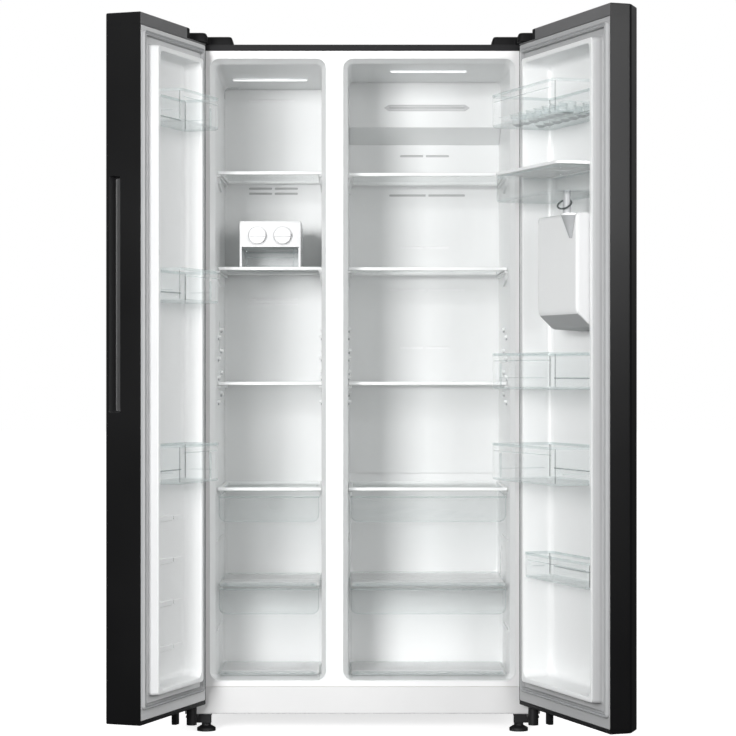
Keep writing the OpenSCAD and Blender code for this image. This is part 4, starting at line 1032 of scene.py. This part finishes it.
def make_tap():
    """The valve under the tank with its tilted ring, and the funnel below it."""
    shape = Shape(door_place("fridge"))
    valve = [(7, 1296), (9.8, 1297), (9.8, 1318), (8.8, 1320), (8.8, 1351.5), (6, 1351.8)]
    shape.lathe((TAP_X, TAP_Y), valve, "z", TAP, 32)
    tilt = (Matrix.Translation((TAP_X, TAP_Y + 6, 1318)) @ Matrix.Rotation(radians(-35), 4, "X")
            @ Matrix.Rotation(radians(24), 4, "Y"))
    turns, sides, r, wire = 36, 10, 17, 2.2
    rows = []
    for i in range(turns):
        about = Matrix.Rotation(2 * pi * i / turns, 4, "Z")
        section = arc((r, 0), wire, 0, 360, sides)[:-1]
        rows.append([tilt @ about @ Vector((u, 0, v)) for u, v in section])
    shape.skin(rows, LINE, ring_closed=True)

    # The funnel is half a cone with a white rim, its flat side on the bulge
    def half_disc(r):
        flat = FUNNEL_Y - 1.3
        return arc((TAP_X, FUNNEL_Y), r, 0, 180, 20) + [(TAP_X - r, flat), (TAP_X + r, flat)]

    rings = [(half_disc(r), z) for r, z in
             ((3.4, 1239), (4, 1239.8), (22.4, 1291), (23.6, 1292), (23.8, 1293), (23.8, 1296.2),
              (23, 1297), (21, 1297))]
    shape.loft(rings, "z", TAP, {step: LID for step in range(3, 7)})
    shape.done("tap_and_funnel", "fridge_door", ["water_tap"])


def make_niche():
    """The niche's lining with the rim round its mouth, the paddle's pin and the water outlet."""
    shape = Shape(door_place("fridge"))
    mouth = -DOOR_T
    rings = [(rounded(grow(NICHE_X, g), grow(NICHE_Z, g), r), y) for g, y, r in
             ((2.8, 24.8, 8), (2.8, mouth + 1.2, 8), (3.2, mouth + 0.4, 8), (2, mouth + 0.1, 8),
              (0, mouth + 0.1, 8), (0, mouth + 1.5, 8), (-0.1, 14, 8), (-2, 19, 8), (-7, 21.6, 10))]
    shape.loft(rings, "y", NICHE)
    shape.rod((-12, 1262), 2.5, grow(NICHE_X, 1), "x", PLATED, 0.4, 16)
    outlet = [(9, 1284), (9, 1268), (7, 1264), (5.5, 1264), (5.5, 1284)]
    shape.lathe((367, -40), outlet, "z", NICHE, 24)
    shape.done("niche_lining", "fridge_door", [])


make_case()
make_back_sheet()
make_front()
make_hinge_covers()
make_air_trims()
make_duct_bezel()
make_lamps()
for which in ("freezer", "fridge"):
    make_liner(which)
    for i, z in enumerate(SHELVES[which], 1):
        shelf = "%s_shelf_%d" % (which, i)
        make_shelf("%s_shelf_pane_%d" % (which, i), shelf, shelf, which, SHELF_Y, z)
    make_shelf(which + "_cover_pane", which + "_cover", which + "_drawer_cover", which, COVER_Y, COVER_Z)
    for index in (0, 1):
        make_drawer(which, index)
    make_door(which)
    make_bins(which)
make_ice_maker()
make_knob_face("left")
make_knob_face("right")
make_ice_box()
make_tank()
make_tank_lid()
make_tap()
make_niche()

# ---- Floor, light and camera ----

FLOOR = (-30.0, 30.0)
CAMERA_PLACE, FOCAL, SENSOR, SHIFT = (0, -5.865, 0.920), 111.9, 36, (0.00747, 0.0068)

stage = bpy.data.meshes.new("floor")
stage.from_pydata([(x, y, 0) for x, y in corners(FLOOR, FLOOR)], [], [(0, 1, 2, 3)])
floor = bpy.data.objects.new("floor", stage)
bpy.context.scene.collection.objects.link(floor)
stage.materials.append(surface("floor_white", (0.97, 0.97, 0.97), 0.8, 0.005, 3, 100, 0.0, glow=0.75))
floor.visible_glossy = floor.visible_diffuse = floor.visible_transmission = False


def area_light(name, place, aim, size, power):
    light = bpy.data.lights.new(name, "AREA")
    light.shape, light.energy = "RECTANGLE", power
    light.size, light.size_y = size
    lamp = bpy.data.objects.new(name, light)
    lamp.location = place
    lamp.rotation_euler = (Vector(aim) - Vector(place)).to_track_quat("-Z", "Y").to_euler()
    bpy.context.scene.collection.objects.link(lamp)


area_light("front_soft", (-1.9, -5.6, 1.75), (0, 0, 0.85), (1.5, 1.5), 245)
area_light("left_fill", (-2.0, -5.2, 1.6), (0.3, 0, 0.9), (1.0, 1.8), 32)
area_light("right_fill", (2.0, -5.2, 1.6), (-0.3, 0, 0.9), (1.0, 1.8), 74)
area_light("right_soft", (3.4, -3.8, 2.3), (0.6, -0.5, 1.2), (1.5, 2.2), 60)


def make_world():
    """White to the camera; as a light, weaker and darker towards the horizon."""
    world = bpy.data.worlds.new("world")
    bpy.context.scene.world = world
    tree = new_tree(world)
    seen = add_node(tree, "Background", Color=(1, 1, 1, 1), Strength=1.0)
    lit = add_node(tree, "Background", Strength=0.38)
    where, split = add_node(tree, "TexCoord"), add_node(tree, "SeparateXYZ")
    tree.links.new(where.outputs["Generated"], split.inputs["Vector"])
    shade = add_ramp(tree, split.outputs["Z"], [(0.10, 0.10, 0.10), (1, 1, 1)], (0, 0.25))
    tree.links.new(shade, lit.inputs["Color"])
    ray = add_node(tree, "LightPath").outputs["Is Camera Ray"]
    add_mix(tree, ray, lit.outputs["Background"], seen.outputs["Background"], "OutputWorld")


make_world()

lens = bpy.data.cameras.new("camera")
lens.sensor_width, lens.lens = SENSOR, FOCAL
lens.shift_x, lens.shift_y = SHIFT
camera = bpy.data.objects.new("camera", lens)
camera.location, camera.rotation_euler = CAMERA_PLACE, (radians(90), 0, 0)
bpy.context.scene.collection.objects.link(camera)
bpy.context.scene.camera = camera

scene = bpy.context.scene
scene.view_settings.view_transform = "Standard"
scene.cycles.transparent_max_bounces = 48
